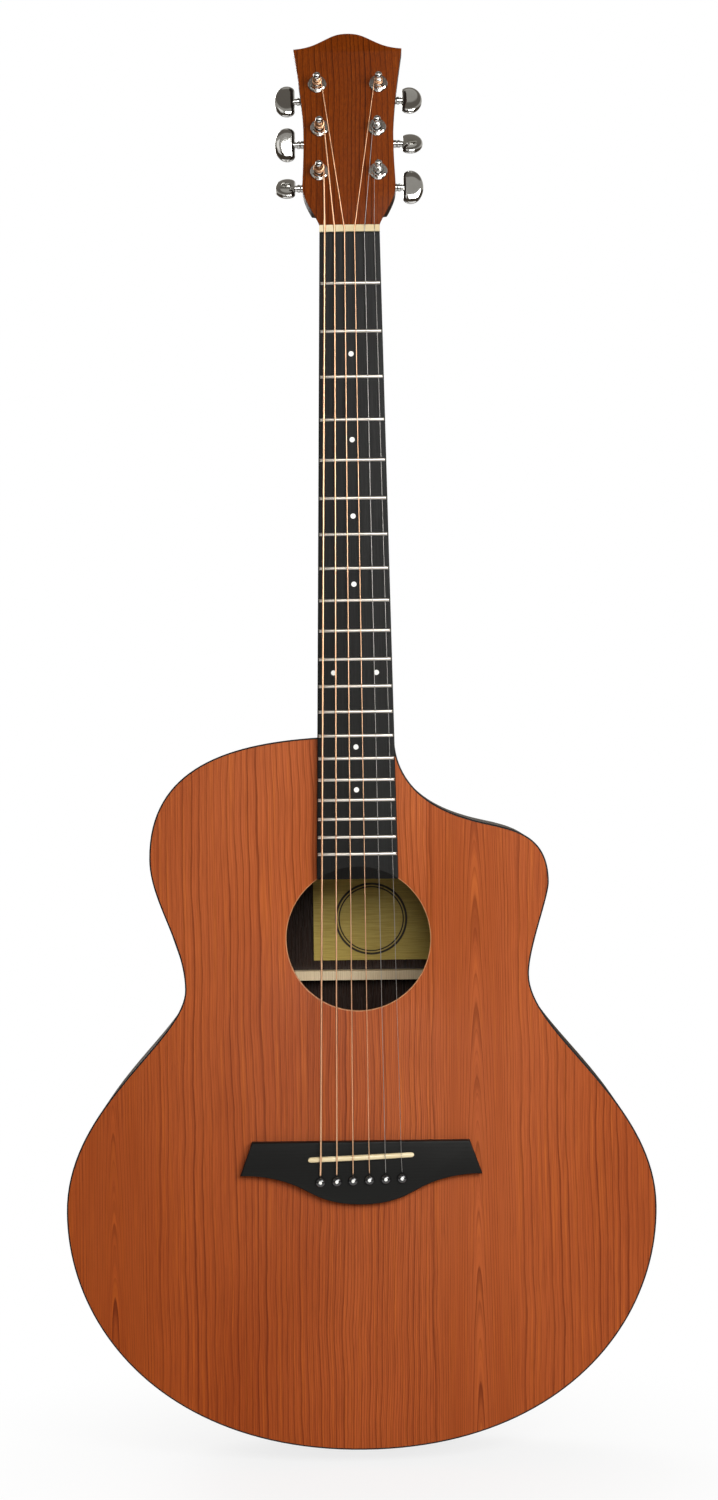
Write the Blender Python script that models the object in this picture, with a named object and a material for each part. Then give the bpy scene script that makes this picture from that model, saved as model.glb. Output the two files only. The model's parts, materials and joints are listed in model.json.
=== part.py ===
"""Acoustic-electric guitar with one cutaway, built as separate pieces at real size.

Metres, +Z up. The guitar hangs upright with its strings facing -Y, and +X is its treble side.
The origin is on the centreline where the nut meets the fingerboard, in the plane of the
soundboard's face. A place along the string is given as a distance below the origin.
"""

import math

import bmesh
import bpy
from mathutils import Matrix, Vector
from mathutils.geometry import interpolate_bezier, intersect_line_line_2d

# Clearances
CUT_GAP = 0.0003
JOINT_GAP = 0.0004
BACK_GAP = 0.0004
WINDING_GAP = 0.0008
MERGE_DISTANCE = 0.000001

# Strings and scale
SCALE_LENGTH = 0.650
FRET_COUNT = 20
BODY_JOINT_FRET = 14
COMPENSATION_BASS = 0.0070
COMPENSATION_TREBLE = 0.0040
SADDLE_SET_BACK = 0.0070
NUT_STRING_SPREAD = 0.0355
SADDLE_STRING_SPREAD = 0.0576
NUT_ACTION = 0.0007
ACTION_BASS = 0.0026
ACTION_TREBLE = 0.0022
STRING_NAMES = ("string_low_e", "string_a", "string_d", "string_g", "string_b", "string_high_e")
STRING_GAUGES = (0.00135, 0.00107, 0.00081, 0.00061, 0.00041, 0.00030)
WOUND_STRINGS = 4
WINDING_TURNS = 2.5
WINDING_POINTS_PER_TURN = 10
STRING_TAIL = 0.0028
BALL_END_RADIUS = 0.0016

# Fingerboard, frets and nut
NUT_WIDTH = 0.0432
BOARD_WIDTH_AT_JOINT = 0.0552
BOARD_THICKNESS = 0.0063
BOARD_RADIUS = 0.400
BOARD_END_GAP = 0.0004
FRET_HEIGHT = 0.0011
FRET_WIDTH = 0.0024
NUT_THICKNESS = 0.005
NUT_ABOVE_FRETS = 0.0019
NUT_BACK_DROP = 0.0015

# Neck and heel
NECK_DEPTH_AT_NUT = 0.0147
NECK_DEPTH_AT_HEEL = 0.0170
HEEL_LENGTH = 0.046
HEEL_FOOT = 0.009
HEEL_DEPTH = 0.080
HEEL_FULLNESS = 0.75
TRUSS_ROD_RADIUS = 0.003
TRUSS_ROD_START = 0.010
TRUSS_NUT_RADIUS = 0.0040
TRUSS_NUT_LENGTH = 0.008
TRUSS_ROD_PAST_BLOCK = 0.003

# Headstock
HEAD_TILT = math.radians(13)
HEAD_THICKNESS = 0.013
OVERLAY_THICKNESS = 0.0012
HEAD_LENGTH = 0.1492
HEAD_CORNER = 0.1372
HEAD_CORNER_HALF_WIDTH = 0.0394
HEAD_WAIST = 0.068
HEAD_WAIST_HALF_WIDTH = 0.0325
HEAD_SHOULDER = 0.030
HEAD_SHOULDER_HALF_WIDTH = 0.0336
HEAD_FOOT_HALF_WIDTH = 0.02175
HEAD_FOOT_SLOPE = 0.012
HEAD_TONGUE_LENGTH = 0.020
HEAD_TONGUE_INSET = 0.0005
CROWN_INFLECTION_HALF_WIDTH = 0.0176
CROWN_INFLECTION = 0.1439

# Tuners: the posts stand in two rows of three, counted from the nut
POST_PLACES = (0.0415, 0.0755, 0.1095)
POST_HALF_SPACINGS = (0.0212, 0.0207, 0.0222)
POST_RADIUS = 0.00305
POST_NECK_RADIUS = 0.0023
POST_BALL_RADIUS = 0.00275
POST_HEIGHT = 0.0170
POST_STUB_RADIUS = 0.0012
POST_STUB_LENGTH = 0.0016
STRING_HOLE_RADIUS = 0.0009
GEAR_TEETH = 14
GEAR_TIP_RADIUS = 0.00305
GEAR_TOOTH_HEIGHT = 0.0008
GEAR_THICKNESS = 0.0030
WORM_LEAD = 0.0012
WORM_TIP_RADIUS = 0.00175
WORM_TOOTH_HEIGHT = 0.00085
WORM_TURNS = 3
TOOTH_ENGAGEMENT = 0.0005
HOUSING_TOP_WALL = 0.0030
HOUSING_DEPTH = 0.0100
HOUSING_INNER_REACH = 0.0070
HOUSING_OUTER_REACH = 0.0085
HOUSING_WALL = 0.0020
SLEEVE_RADIUS = 0.0049
WASHER_RADIUS = 0.00665
WASHER_THICKNESS = 0.0008
BUSHING_RADIUS = 0.0054
BUSHING_HEIGHT = 0.0024
KEY_SHAFT_RADIUS = 0.0016
KEY_COLLAR_RADIUS = 0.0028
KEY_NECK_RADIUS = 0.0022
KEY_NECK_LENGTH = 0.0014
BUTTON_FACE = 0.0390
BUTTON_WIDTH = 0.0150
BUTTON_LENGTH = 0.0250
BUTTON_STRAIGHT = 0.66
BUTTON_CROWN = 0.38
BUTTON_THICKNESS = 0.0062
BUTTON_TURNS = (38, -10, 5, -20, -38, 5)

# Body outline, measured down from where the neck joins it
UPPER_BOUT = 0.0875
UPPER_BOUT_HALF_WIDTH = 0.1496
BASS_WAIST = 0.1811
BASS_WAIST_HALF_WIDTH = 0.1250
TREBLE_WAIST = 0.1731
TREBLE_WAIST_HALF_WIDTH = 0.1223
LOWER_BOUT = 0.3407
LOWER_BOUT_HALF_WIDTH = 0.2121
BODY_LENGTH = 0.5138
HORN = 0.1064
HORN_HALF_WIDTH = 0.1374
CUTAWAY_MIDDLE = 0.0606
CUTAWAY_MIDDLE_OFFSET = 0.0805
CUTAWAY_SLOPE = 18.2
CUTAWAY_START_OFFSET = 0.0274

# Body shell
DEPTH_AT_NECK = 0.088
DEPTH_AT_TAIL = 0.104
BACK_DOME_RADIUS = 6.0
SOUNDBOARD_THICKNESS = 0.003
BACK_THICKNESS = 0.0028
RIB_THICKNESS = 0.0022
BINDING_WIDTH = 0.0018
BINDING_DEPTH = 0.005
LINING_WIDTH = 0.006
LINING_HEIGHT = 0.014
SOUNDHOLE_RADIUS = 0.0517
SOUNDHOLE_PLACE = 0.1459
HOLE_SIDES = 44

# Blocks and braces
NECK_BLOCK_HALF_WIDTH = 0.034
NECK_BLOCK_LENGTH = 0.056
TAIL_BLOCK_HALF_WIDTH = 0.040
TAIL_BLOCK_LENGTH = 0.022
BRACE_WIDTH = 0.0075
BRACE_HEIGHT = 0.013
X_BRACE_HALF_ANGLE = math.radians(49)
X_BRACE_PAST_SOUNDHOLE = 0.003
TONE_BAR_ANGLE = math.radians(31.5)
TONE_BAR_SHARES = (0.12, 0.66)
TONE_BAR_LENGTHS = (0.225, 0.185)
TRANSVERSE_BRACE_PLACE = 0.0765
TRANSVERSE_BRACE_WIDTH = 0.010
TRANSVERSE_BRACE_HEIGHT = 0.016
TRANSVERSE_BRACE_HALF_LENGTH = 0.126
BACK_BRACE_PLACES = (0.092, 0.1791, 0.320)
BACK_BRACE_WIDTH = 0.0068
BACK_BRACE_HEIGHT = 0.014
LABEL_WIDTH = 0.0878
LABEL_HEIGHT = 0.0625
LABEL_OFFSET = 0.0103
LABEL_PLACE = 0.1373
LABEL_THICKNESS = 0.0004

# Bridge
BRIDGE_THICKNESS = 0.0076
BRIDGE_TOP_HALF_WIDTH = 0.0781
BRIDGE_TIP_HALF_WIDTH = 0.0869
BRIDGE_ABOVE_SADDLE = 0.0112
BRIDGE_TIP_BELOW_SADDLE = 0.0127
BRIDGE_BELLY_BELOW_SADDLE = 0.0340
BRIDGE_CHAMFER = 0.0010
SADDLE_LENGTH = 0.0757
SADDLE_THICKNESS = 0.0036
SADDLE_SLOT_FLOOR = 0.0016
SADDLE_CREST_DROP = 0.0008
PICKUP_LENGTH = 0.070
PICKUP_WIDTH = 0.0026
PICKUP_THICKNESS = 0.0012
PIN_SPREAD = 0.0585
PINS_BELOW_SADDLE = 0.0165
PIN_HEAD_RADIUS = 0.0037
PIN_HEAD_HEIGHT = 0.0030
PIN_SHANK_RADIUS = 0.0026
PIN_TIP_RADIUS = 0.0023
PIN_LENGTH = 0.0225
BRIDGE_PLATE_THICKNESS = 0.0025
BRIDGE_PLATE_ABOVE_PINS = 0.020
BRIDGE_PLATE_BELOW_PINS = 0.016

# Preamp in the bass rib, halfway between the upper bout and the waist
PREAMP_DEPTH_PLACE = 0.054
PREAMP_HALF_LENGTH = 0.0315
PREAMP_HALF_WIDTH = 0.025
PREAMP_FACE = 0.0015
PREAMP_RIM = 0.003
PREAMP_BOX_DEPTH = 0.034
KNOB_SPACING = 0.020
KNOB_OFFSET = 0.0125
KNOB_RADIUS = 0.005
KNOB_HEIGHT = 0.0026
KNOB_SHAFT_RADIUS = 0.002
KNOB_SHAFT_LENGTH = 0.004
KNOB_NAMES = ("preamp_knob_volume", "preamp_knob_bass", "preamp_knob_treble")
BATTERY_LENGTH = 0.0485
BATTERY_HEIGHT = 0.0175
BATTERY_WIDTH = 0.0245
BATTERY_CLEARANCE = 0.0005
BATTERY_OFFSET = 0.009
DOOR_THICKNESS = 0.0018
DOOR_LIP = 0.0015
DOOR_HINGE_RADIUS = 0.0010

# End-pin output jack
JACK_DEPTH_PLACE = 0.052
JACK_BARREL_RADIUS = 0.0059
JACK_BARREL_LENGTH = 0.034
JACK_NECK_RADIUS = 0.0055
JACK_FLANGE_RADIUS = 0.0075
JACK_REACH = 0.010
JACK_BORE_RADIUS = 0.0033
JACK_BORE_LENGTH = 0.030

# Colour, roughness and metallic value of each kind of surface
CHERRY_TOP = ((0.42, 0.14, 0.035), 0.30, 0.0)
DARK_BODY = ((0.030, 0.016, 0.010), 0.25, 0.0)
BLACK_BINDING = ((0.012, 0.010, 0.010), 0.25, 0.0)
HEAD_VENEER = ((0.25, 0.065, 0.012), 0.30, 0.0)
NECK_WOOD = ((0.050, 0.020, 0.010), 0.35, 0.0)
BRACE_WOOD = ((0.55, 0.38, 0.20), 0.65, 0.0)
BLACK_WOOD = ((0.030, 0.031, 0.032), 0.45, 0.0)
CREAM_BONE = ((0.70, 0.60, 0.40), 0.35, 0.0)
BLACK_PLASTIC = ((0.015, 0.015, 0.016), 0.30, 0.0)
CHROME = ((0.75, 0.75, 0.76), 0.08, 1.0)
STEEL = ((0.60, 0.60, 0.62), 0.25, 1.0)
BRONZE = ((0.72, 0.38, 0.20), 0.30, 1.0)
GOLD_PAPER = ((0.60, 0.42, 0.15), 0.50, 0.0)

# Places worked out from the sizes above
BODY_TOP = SCALE_LENGTH * (1 - 2 ** (-BODY_JOINT_FRET / 12))
BODY_SHELL_TOP = BODY_TOP + JOINT_GAP
TAIL = BODY_TOP + BODY_LENGTH
SOUNDHOLE = BODY_TOP + SOUNDHOLE_PLACE
SADDLE = SCALE_LENGTH + SADDLE_SET_BACK + (COMPENSATION_BASS + COMPENSATION_TREBLE) / 2
PIN_LINE = SADDLE + PINS_BELOW_SADDLE
TRUSS_ROD_DEPTH = SOUNDBOARD_THICKNESS + CUT_GAP + TRUSS_NUT_RADIUS
HEAD_FRAME = Matrix.Translation((0, 0, NUT_THICKNESS)) @ Matrix.Rotation(math.pi / 2 - HEAD_TILT, 4, "X")
OVERLAY_FACE = CUT_GAP + OVERLAY_THICKNESS
BUSHING_TOP = OVERLAY_FACE + CUT_GAP + WASHER_THICKNESS + BUSHING_HEIGHT
GEAR_CENTRE_DISTANCE = GEAR_TIP_RADIUS + WORM_TIP_RADIUS - TOOTH_ENGAGEMENT
GEAR_TOP = -HEAD_THICKNESS - CUT_GAP - HOUSING_TOP_WALL - CUT_GAP
WORM_LEVEL = GEAR_TOP - GEAR_THICKNESS / 2
WORM_ROOT_RADIUS = WORM_TIP_RADIUS - WORM_TOOTH_HEIGHT


# Helpers for meshes, materials and Booleans
def below(x, distance, depth):
    """The world point at x, a distance below the nut, and a depth behind the soundboard's face."""
    return Vector((x, depth, -distance))


def add_loft(bm, rings, closed=False):
    """Joins rings of points, each as long as the last, with quads; open lofts get a cap at each end."""
    made = [[bm.verts.new(point) for point in ring] for ring in rings]
    pairs = list(zip(made, made[1:]))
    if closed:
        pairs.append((made[-1], made[0]))
    for first, second in pairs:
        for i in range(len(first)):
            j = (i + 1) % len(first)
            bm.faces.new((first[i], first[j], second[j], second[i]))
    if not closed:
        bm.faces.new(made[0])
        bm.faces.new(reversed(made[-1]))


def loft(rings, closed=False):
    bm = bmesh.new()
    add_loft(bm, rings, closed)
    return bm


def circle(radius, sides, height=0.0, centre=(0.0, 0.0), first=0.0):
    """A ring of points round +Z."""
    angles = [first + math.tau * i / sides for i in range(sides)]
    return [
        Vector((centre[0] + radius * math.cos(a), centre[1] + radius * math.sin(a), height))
        for a in angles
    ]


def turned(profile, sides, first=0.0):
    """A body turned round +Z from (radius, height) pairs; its ends are flat."""
    return loft([circle(radius, sides, height, first=first) for radius, height in profile])


def box(low, high):
    corners = [(low[0], low[1]), (high[0], low[1]), (high[0], high[1]), (low[0], high[1])]
    return loft([[Vector((*corner, height)) for corner in corners] for height in (low[2], high[2])])


def add_object(name, bm, finish=None, frame=None):
    """Adds a node with its own material or, without a finish, a hidden helper."""
    bmesh.ops.remove_doubles(bm, verts=bm.verts, dist=MERGE_DISTANCE)
    bmesh.ops.recalc_face_normals(bm, faces=bm.faces)
    mesh = bpy.data.meshes.new(name)
    bm.to_mesh(mesh)
    bm.free()
    obj = bpy.data.objects.new(name, mesh)
    bpy.context.scene.collection.objects.link(obj)
    if frame is not None:
        obj.matrix_world = frame
    if finish is None:
        obj.hide_render = True
        obj.display_type = "WIRE"
    else:
        mesh.materials.append(surface(name, finish))
        mesh.shade_smooth()
        mesh.set_sharp_from_angle(angle=math.radians(35))
    return obj


def surface(name, finish):
    colour, roughness, metallic = finish
    material = bpy.data.materials.new(f"{name}_finish")
    material.use_nodes = True
    shader = material.node_tree.nodes["Principled BSDF"]
    shader.inputs["Base Color"].default_value = (*colour, 1.0)
    shader.inputs["Roughness"].default_value = roughness
    shader.inputs["Metallic"].default_value = metallic
    return material


def combine(obj, other, operation):
    modifier = obj.modifiers.new(f"{operation.lower()} {other.name}", "BOOLEAN")
    modifier.operation = operation
    modifier.object = other
    modifier.solver = "EXACT"


def cut(obj, *others):
    for other in others:
        combine(obj, other, "DIFFERENCE")


def clear_scene():
    for obj in list(bpy.data.objects):
        bpy.data.objects.remove(obj, do_unlink=True)


# Shared curves and surfaces
def fret_place(number):
    return SCALE_LENGTH * (1 - 2 ** (-number / 12))


def board_half_width(distance):
    widening = (BOARD_WIDTH_AT_JOINT - NUT_WIDTH) * distance / BODY_TOP
    return (NUT_WIDTH + widening) / 2


def board_crown(x):
    """Height of the fingerboard's cambered face over the soundboard's plane."""
    return BOARD_THICKNESS - x * x / (2 * BOARD_RADIUS)


def string_spread(spread, index):
    """Where string index lies in a row of the given spread, from the bass side."""
    return spread * (index / (len(STRING_NAMES) - 1) - 0.5)


def string_action(index):
    return ACTION_BASS + (ACTION_TREBLE - ACTION_BASS) * index / (len(STRING_NAMES) - 1)


def string_underside_at_nut(x):
    return board_crown(x) + FRET_HEIGHT + NUT_ACTION


def string_underside_at_saddle(x, action):
    return board_crown(x) + FRET_HEIGHT + 2 * action - NUT_ACTION


def saddle_place(x):
    """Distance of the saddle's crest below the nut; its bass end lies lower."""
    return SADDLE - (COMPENSATION_BASS - COMPENSATION_TREBLE) * x / SADDLE_LENGTH


def back_depth(x, distance):
    """Depth of the back's inner face: a shallow dome on a wedge from neck to tail."""
    along = (distance - BODY_TOP) / BODY_LENGTH
    wedge = DEPTH_AT_NECK + (DEPTH_AT_TAIL - DEPTH_AT_NECK) * along
    from_middle = distance - BODY_TOP - BODY_LENGTH / 2
    rise = (BODY_LENGTH / 2) ** 2 - from_middle**2 - x * x
    return wedge + rise / (2 * BACK_DOME_RADIUS)


class Anchor:
    """A point of the body's outline: place, direction of travel and the two handle lengths."""

    def __init__(self, x, down, heading, before, after):
        self.point = Vector((x, -BODY_TOP - down, 0))
        angle = math.radians(heading)
        travel = Vector((math.cos(angle), math.sin(angle), 0))
        self.before = self.point - travel * before
        self.after = self.point + travel * after


def body_anchors():
    """Anchors round the body from the neck joint down the bass side and up the treble side."""
    lower_before, lower_after = 0.0776, 0.0878
    return (
        (Anchor(0, JOINT_GAP, 180, 0, 0.080), 7),
        (Anchor(-UPPER_BOUT_HALF_WIDTH, UPPER_BOUT, -90, 0.073, 0.030), 5),
        (Anchor(-BASS_WAIST_HALF_WIDTH, BASS_WAIST, -90, 0.033, 0.0366), 7),
        (Anchor(-LOWER_BOUT_HALF_WIDTH, LOWER_BOUT, -90, lower_before, lower_after), 9),
        (Anchor(0, BODY_LENGTH, 0, 0.1382, 0.1382), 9),
        (Anchor(LOWER_BOUT_HALF_WIDTH, LOWER_BOUT, 90, lower_after, 0.0772), 7),
        (Anchor(TREBLE_WAIST_HALF_WIDTH, TREBLE_WAIST, 90, 0.0436, 0.0190), 5),
        (Anchor(HORN_HALF_WIDTH, HORN, 90, 0.0115, 0.0398), 8),
        (Anchor(CUTAWAY_MIDDLE_OFFSET, CUTAWAY_MIDDLE, 180 - CUTAWAY_SLOPE, 0.0246, 0.0100), 6),
        (Anchor(CUTAWAY_START_OFFSET, JOINT_GAP, 90, 0.045, 0), 0),
    )


def body_outline():
    """Points (x, -distance below the nut) round the body, and the tail point's index."""
    anchors = body_anchors()
    points = []
    tail_index = 0
    for (start, steps), (end, _) in zip(anchors, anchors[1:]):
        if start.point.x == 0 and start.point.y < -TAIL + MERGE_DISTANCE:
            tail_index = len(points)
        curve = interpolate_bezier(start.point, start.after, end.before, end.point, steps + 1)
        points += [Vector((point.x, point.y)) for point in curve[:-1]]
    points.append(Vector((anchors[-1][0].point.x, anchors[-1][0].point.y)))
    return points, tail_index


def inset(points, distance):
    """The closed outline moved inwards by a distance, with its corners mitred."""
    moved = []
    for i, point in enumerate(points):
        into = (point - points[i - 1]).normalized()
        out = (points[(i + 1) % len(points)] - point).normalized()
        first = Vector((-into.y, into.x))
        second = Vector((-out.y, out.x))
        moved.append(point + (first + second) * (distance / (1 + first.dot(second))))
    return moved


OUTLINE, TAIL_INDEX = body_outline()


def plate(outline, front, rear):
    """A flat plate of the outline between two depths."""
    return loft([[Vector((p.x, depth, p.y)) for p in outline] for depth in (front, rear)])


def band(outer, inner, front, rear):
    """A strip round the whole body between two insets; front and rear give depths at a point."""
    rings = []
    for a, b in zip(inset(OUTLINE, outer), inset(OUTLINE, inner)):
        rings.append(
            [
                Vector((a.x, front(a.x, -a.y), a.y)),
                Vector((b.x, front(b.x, -b.y), b.y)),
                Vector((b.x, rear(b.x, -b.y), b.y)),
                Vector((a.x, rear(a.x, -a.y), a.y)),
            ]
        )
    return loft(rings, closed=True)


def level(depth):
    """A depth that is the same everywhere, in the form that band asks for."""
    return lambda x, distance: depth


# Body shell
def make_soundboard(pin_slots):
    bm = plate(inset(OUTLINE, BINDING_WIDTH + CUT_GAP), 0, SOUNDBOARD_THICKNESS)
    soundboard = add_object("soundboard", bm, CHERRY_TOP)
    hole = add_object("soundhole_cutter", along_depth(SOUNDHOLE_RADIUS, HOLE_SIDES, -0.02, 0.02))
    hole.location = below(0, SOUNDHOLE, 0)
    cut(soundboard, hole, pin_slots)


def along_depth(radius, sides, front, rear):
    """A cylinder round +Y between two depths."""
    return loft(
        [[Vector((p.x, depth, p.y)) for p in circle(radius, sides)] for depth in (front, rear)]
    )


def make_back():
    """The domed back, as rings of the outline drawn in towards the middle of the body."""
    centre = Vector((0, -BODY_TOP - BODY_LENGTH / 2))
    shares = (0.34, 0.67, 1.0)
    bm = bmesh.new()
    faces = []
    for thickness in (0, BACK_THICKNESS):
        rise = BACK_GAP + thickness
        rings = []
        for share in shares:
            places = [centre.lerp(point, share) for point in OUTLINE]
            rings.append(
                [bm.verts.new((p.x, back_depth(p.x, -p.y) + rise, p.y)) for p in places]
            )
        middle = bm.verts.new((centre.x, back_depth(centre.x, -centre.y) + rise, centre.y))
        faces.append((middle, rings))
    count = len(OUTLINE)
    for middle, rings in faces:
        for i in range(count):
            j = (i + 1) % count
            bm.faces.new((middle, rings[0][i], rings[0][j]))
            for near, far in zip(rings, rings[1:]):
                bm.faces.new((near[i], far[i], far[j], near[j]))
    inner_edge = faces[0][1][-1]
    outer_edge = faces[1][1][-1]
    for i in range(count):
        j = (i + 1) % count
        bm.faces.new((inner_edge[i], outer_edge[i], outer_edge[j], inner_edge[j]))
    add_object("back", bm, DARK_BODY)


def rib_strip(first, last, shift):
    """A bent side between two points of the outline, its ends drawn back from the seams."""
    inner = inset(OUTLINE, RIB_THICKNESS)
    rings = []
    for step in range(last - first + 1):
        index = (first + step) % len(OUTLINE)
        a, b = OUTLINE[index].copy(), inner[index].copy()
        if step in (0, last - first):
            a.x += shift
            b.x += shift
        rings.append(
            [
                Vector((a.x, BINDING_DEPTH, a.y)),
                Vector((b.x, BINDING_DEPTH, b.y)),
                Vector((b.x, back_depth(b.x, -b.y), b.y)),
                Vector((a.x, back_depth(a.x, -a.y), a.y)),
            ]
        )
    return loft(rings)


def make_rod_passage():
    """Cutter for the passage of the truss rod through everything at the body's top end."""
    half = TRUSS_ROD_RADIUS + CUT_GAP
    end = BODY_SHELL_TOP + NECK_BLOCK_LENGTH + HEEL_FOOT
    passage = box(
        (-half, SOUNDBOARD_THICKNESS - CUT_GAP, -end),
        (half, TRUSS_ROD_DEPTH + half, -BODY_TOP + HEEL_FOOT),
    )
    return add_object("rod_passage_cutter", passage)


def make_ribs(jack_hole, rod_passage):
    bass = add_object("rib_bass", rib_strip(0, TAIL_INDEX, -CUT_GAP / 2), DARK_BODY)
    treble = add_object("rib_treble", rib_strip(TAIL_INDEX, len(OUTLINE), CUT_GAP / 2), DARK_BODY)
    cut(bass, jack_hole, rod_passage)
    cut(treble, jack_hole, rod_passage)
    return bass


def make_edges(rod_passage):
    """The top binding, and the linings that widen the glue joints inside."""
    lining_outer = RIB_THICKNESS + CUT_GAP
    lining_inner = lining_outer + LINING_WIDTH
    bm = band(0, BINDING_WIDTH, level(0), level(BINDING_DEPTH))
    cut(add_object("top_binding", bm, BLACK_BINDING), rod_passage)
    bm = band(
        lining_outer,
        lining_inner,
        level(SOUNDBOARD_THICKNESS),
        level(SOUNDBOARD_THICKNESS + LINING_HEIGHT),
    )
    cut(add_object("top_lining", bm, BRACE_WOOD), rod_passage)
    back = band(
        lining_outer,
        lining_inner,
        lambda x, distance: back_depth(x, distance) - LINING_HEIGHT,
        back_depth,
    )
    add_object("back_lining", back, BRACE_WOOD)


def lining_cutters():
    """The linings with their clearance, which the two blocks are rebated round."""
    inner = RIB_THICKNESS + LINING_WIDTH + 2 * CUT_GAP
    top_end = SOUNDBOARD_THICKNESS + LINING_HEIGHT + CUT_GAP
    top = band(-RIB_THICKNESS, inner, level(-BINDING_DEPTH), level(top_end))
    back = band(
        -RIB_THICKNESS,
        inner,
        lambda x, distance: back_depth(x, distance) - LINING_HEIGHT - CUT_GAP,
        lambda x, distance: back_depth(x, distance) + LINING_HEIGHT,
    )
    return add_object("top_lining_cutter", top), add_object("back_lining_cutter", back)


def block(half_width, start, end):
    """A block as deep as the body, from the soundboard to the back."""
    rings = []
    for distance in (start, end):
        rings.append(
            [
                below(-half_width, distance, SOUNDBOARD_THICKNESS),
                below(half_width, distance, SOUNDBOARD_THICKNESS),
                below(half_width, distance, back_depth(half_width, distance)),
                below(-half_width, distance, back_depth(half_width, distance)),
            ]
        )
    return loft(rings)


def make_blocks(jack_hole, rod_passage):
    inside_ribs = add_object(
        "inside_ribs_guide",
        plate(inset(OUTLINE, RIB_THICKNESS + CUT_GAP), -BINDING_DEPTH, DEPTH_AT_TAIL * 2),
    )
    cutters = lining_cutters()
    neck_end = BODY_SHELL_TOP + NECK_BLOCK_LENGTH
    neck_block = add_object(
        "neck_block", block(NECK_BLOCK_HALF_WIDTH, BODY_TOP - HEEL_FOOT, neck_end), BRACE_WOOD
    )
    tail_block = add_object(
        "tail_block",
        block(TAIL_BLOCK_HALF_WIDTH, TAIL - TAIL_BLOCK_LENGTH, TAIL + HEEL_FOOT),
        BRACE_WOOD,
    )
    for solid in (neck_block, tail_block):
        combine(solid, inside_ribs, "INTERSECT")
        cut(solid, *cutters)
    cut(neck_block, rod_passage)
    cut(tail_block, jack_hole)


# Braces
def bar(start, direction, length, width, front, rear):
    """A straight bar on the soundboard from (x, distance below the nut) along a direction."""
    along = Vector((direction[0], direction[1])).normalized()
    side = Vector((-along.y, along.x)) * (width / 2)
    first = Vector(start)
    last = first + along * length
    corners = (first - side, last - side, last + side, first + side)
    return loft([[below(c.x, c.y, depth) for c in corners] for depth in (front, rear)])


def x_brace_crossing():
    """Where the legs of the X brace cross, far enough down to stay out of the soundhole."""
    to_leg = SOUNDHOLE_RADIUS + X_BRACE_PAST_SOUNDHOLE + BRACE_WIDTH / 2
    return Vector((0, SOUNDHOLE + to_leg / math.sin(X_BRACE_HALF_ANGLE)))


def reach_inside_body(start, direction):
    """How far a line from (x, distance below the nut) runs before it leaves the outline."""
    end = start + direction * BODY_LENGTH
    shell = [Vector((point.x, -point.y)) for point in OUTLINE]
    meetings = [intersect_line_line_2d(start, end, a, b) for a, b in zip(shell, shell[1:])]
    return min((meeting - start).length for meeting in meetings if meeting is not None)


def make_bracing():
    """The X brace and its two tone bars as one glued frame, and the brace above the soundhole."""
    inside = add_object(
        "inside_linings_guide",
        plate(
            inset(OUTLINE, RIB_THICKNESS + LINING_WIDTH + 3 * CUT_GAP),
            -BINDING_DEPTH,
            DEPTH_AT_TAIL * 2,
        ),
    )
    front = SOUNDBOARD_THICKNESS
    rear = front + BRACE_HEIGHT
    crossing = x_brace_crossing()
    reach = BODY_LENGTH
    legs = []
    for side in (-1, 1):
        direction = Vector((side * math.sin(X_BRACE_HALF_ANGLE), math.cos(X_BRACE_HALF_ANGLE)))
        start = crossing - direction * reach
        legs.append(bar(start, direction, 2 * reach, BRACE_WIDTH, front, rear))
    bracing = add_object("top_bracing", legs[0], BRACE_WOOD)
    combine(bracing, add_object("x_brace_second_leg", legs[1]), "UNION")
    toward = (-math.cos(TONE_BAR_ANGLE), math.sin(TONE_BAR_ANGLE))
    beside_plate = (PIN_LINE + BRIDGE_PLATE_BELOW_PINS - crossing.y) / math.cos(X_BRACE_HALF_ANGLE)
    leg_below_plate = reach_inside_body(crossing, direction) - beside_plate
    for number, (share, length) in enumerate(zip(TONE_BAR_SHARES, TONE_BAR_LENGTHS)):
        start = crossing + direction * (beside_plate + share * leg_below_plate)
        tone_bar = bar(start, toward, length, BRACE_WIDTH, front, rear - CUT_GAP)
        combine(bracing, add_object(f"tone_bar_{number + 1}", tone_bar), "UNION")
    combine(bracing, inside, "INTERSECT")
    distance = BODY_TOP + TRANSVERSE_BRACE_PLACE
    cross_bar = bar(
        (-TRANSVERSE_BRACE_HALF_LENGTH, distance),
        (1, 0),
        2 * TRANSVERSE_BRACE_HALF_LENGTH,
        TRANSVERSE_BRACE_WIDTH,
        front,
        front + TRANSVERSE_BRACE_HEIGHT,
    )
    transverse = add_object("transverse_brace", cross_bar, BRACE_WOOD)
    combine(transverse, inside, "INTERSECT")
    half = TRUSS_NUT_RADIUS + CUT_GAP
    access = add_object(
        "wrench_access_cutter",
        box(
            (-half, -BINDING_DEPTH, -distance - TRANSVERSE_BRACE_WIDTH),
            (half, TRUSS_ROD_DEPTH + half, -distance + TRANSVERSE_BRACE_WIDTH),
        ),
    )
    cut(transverse, access)
    return inside


def on_back(half_length, centre_x, distance, width, nearest, furthest, stations):
    """A slab that follows the back's dome, between two heights over its inner face."""
    rings = []
    for step in range(stations):
        x = centre_x + half_length * (2 * step / (stations - 1) - 1)
        rings.append(
            [
                below(x, place, back_depth(x, place) - height)
                for place, height in (
                    (distance - width / 2, furthest),
                    (distance + width / 2, furthest),
                    (distance + width / 2, nearest),
                    (distance - width / 2, nearest),
                )
            ]
        )
    return loft(rings)


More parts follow.
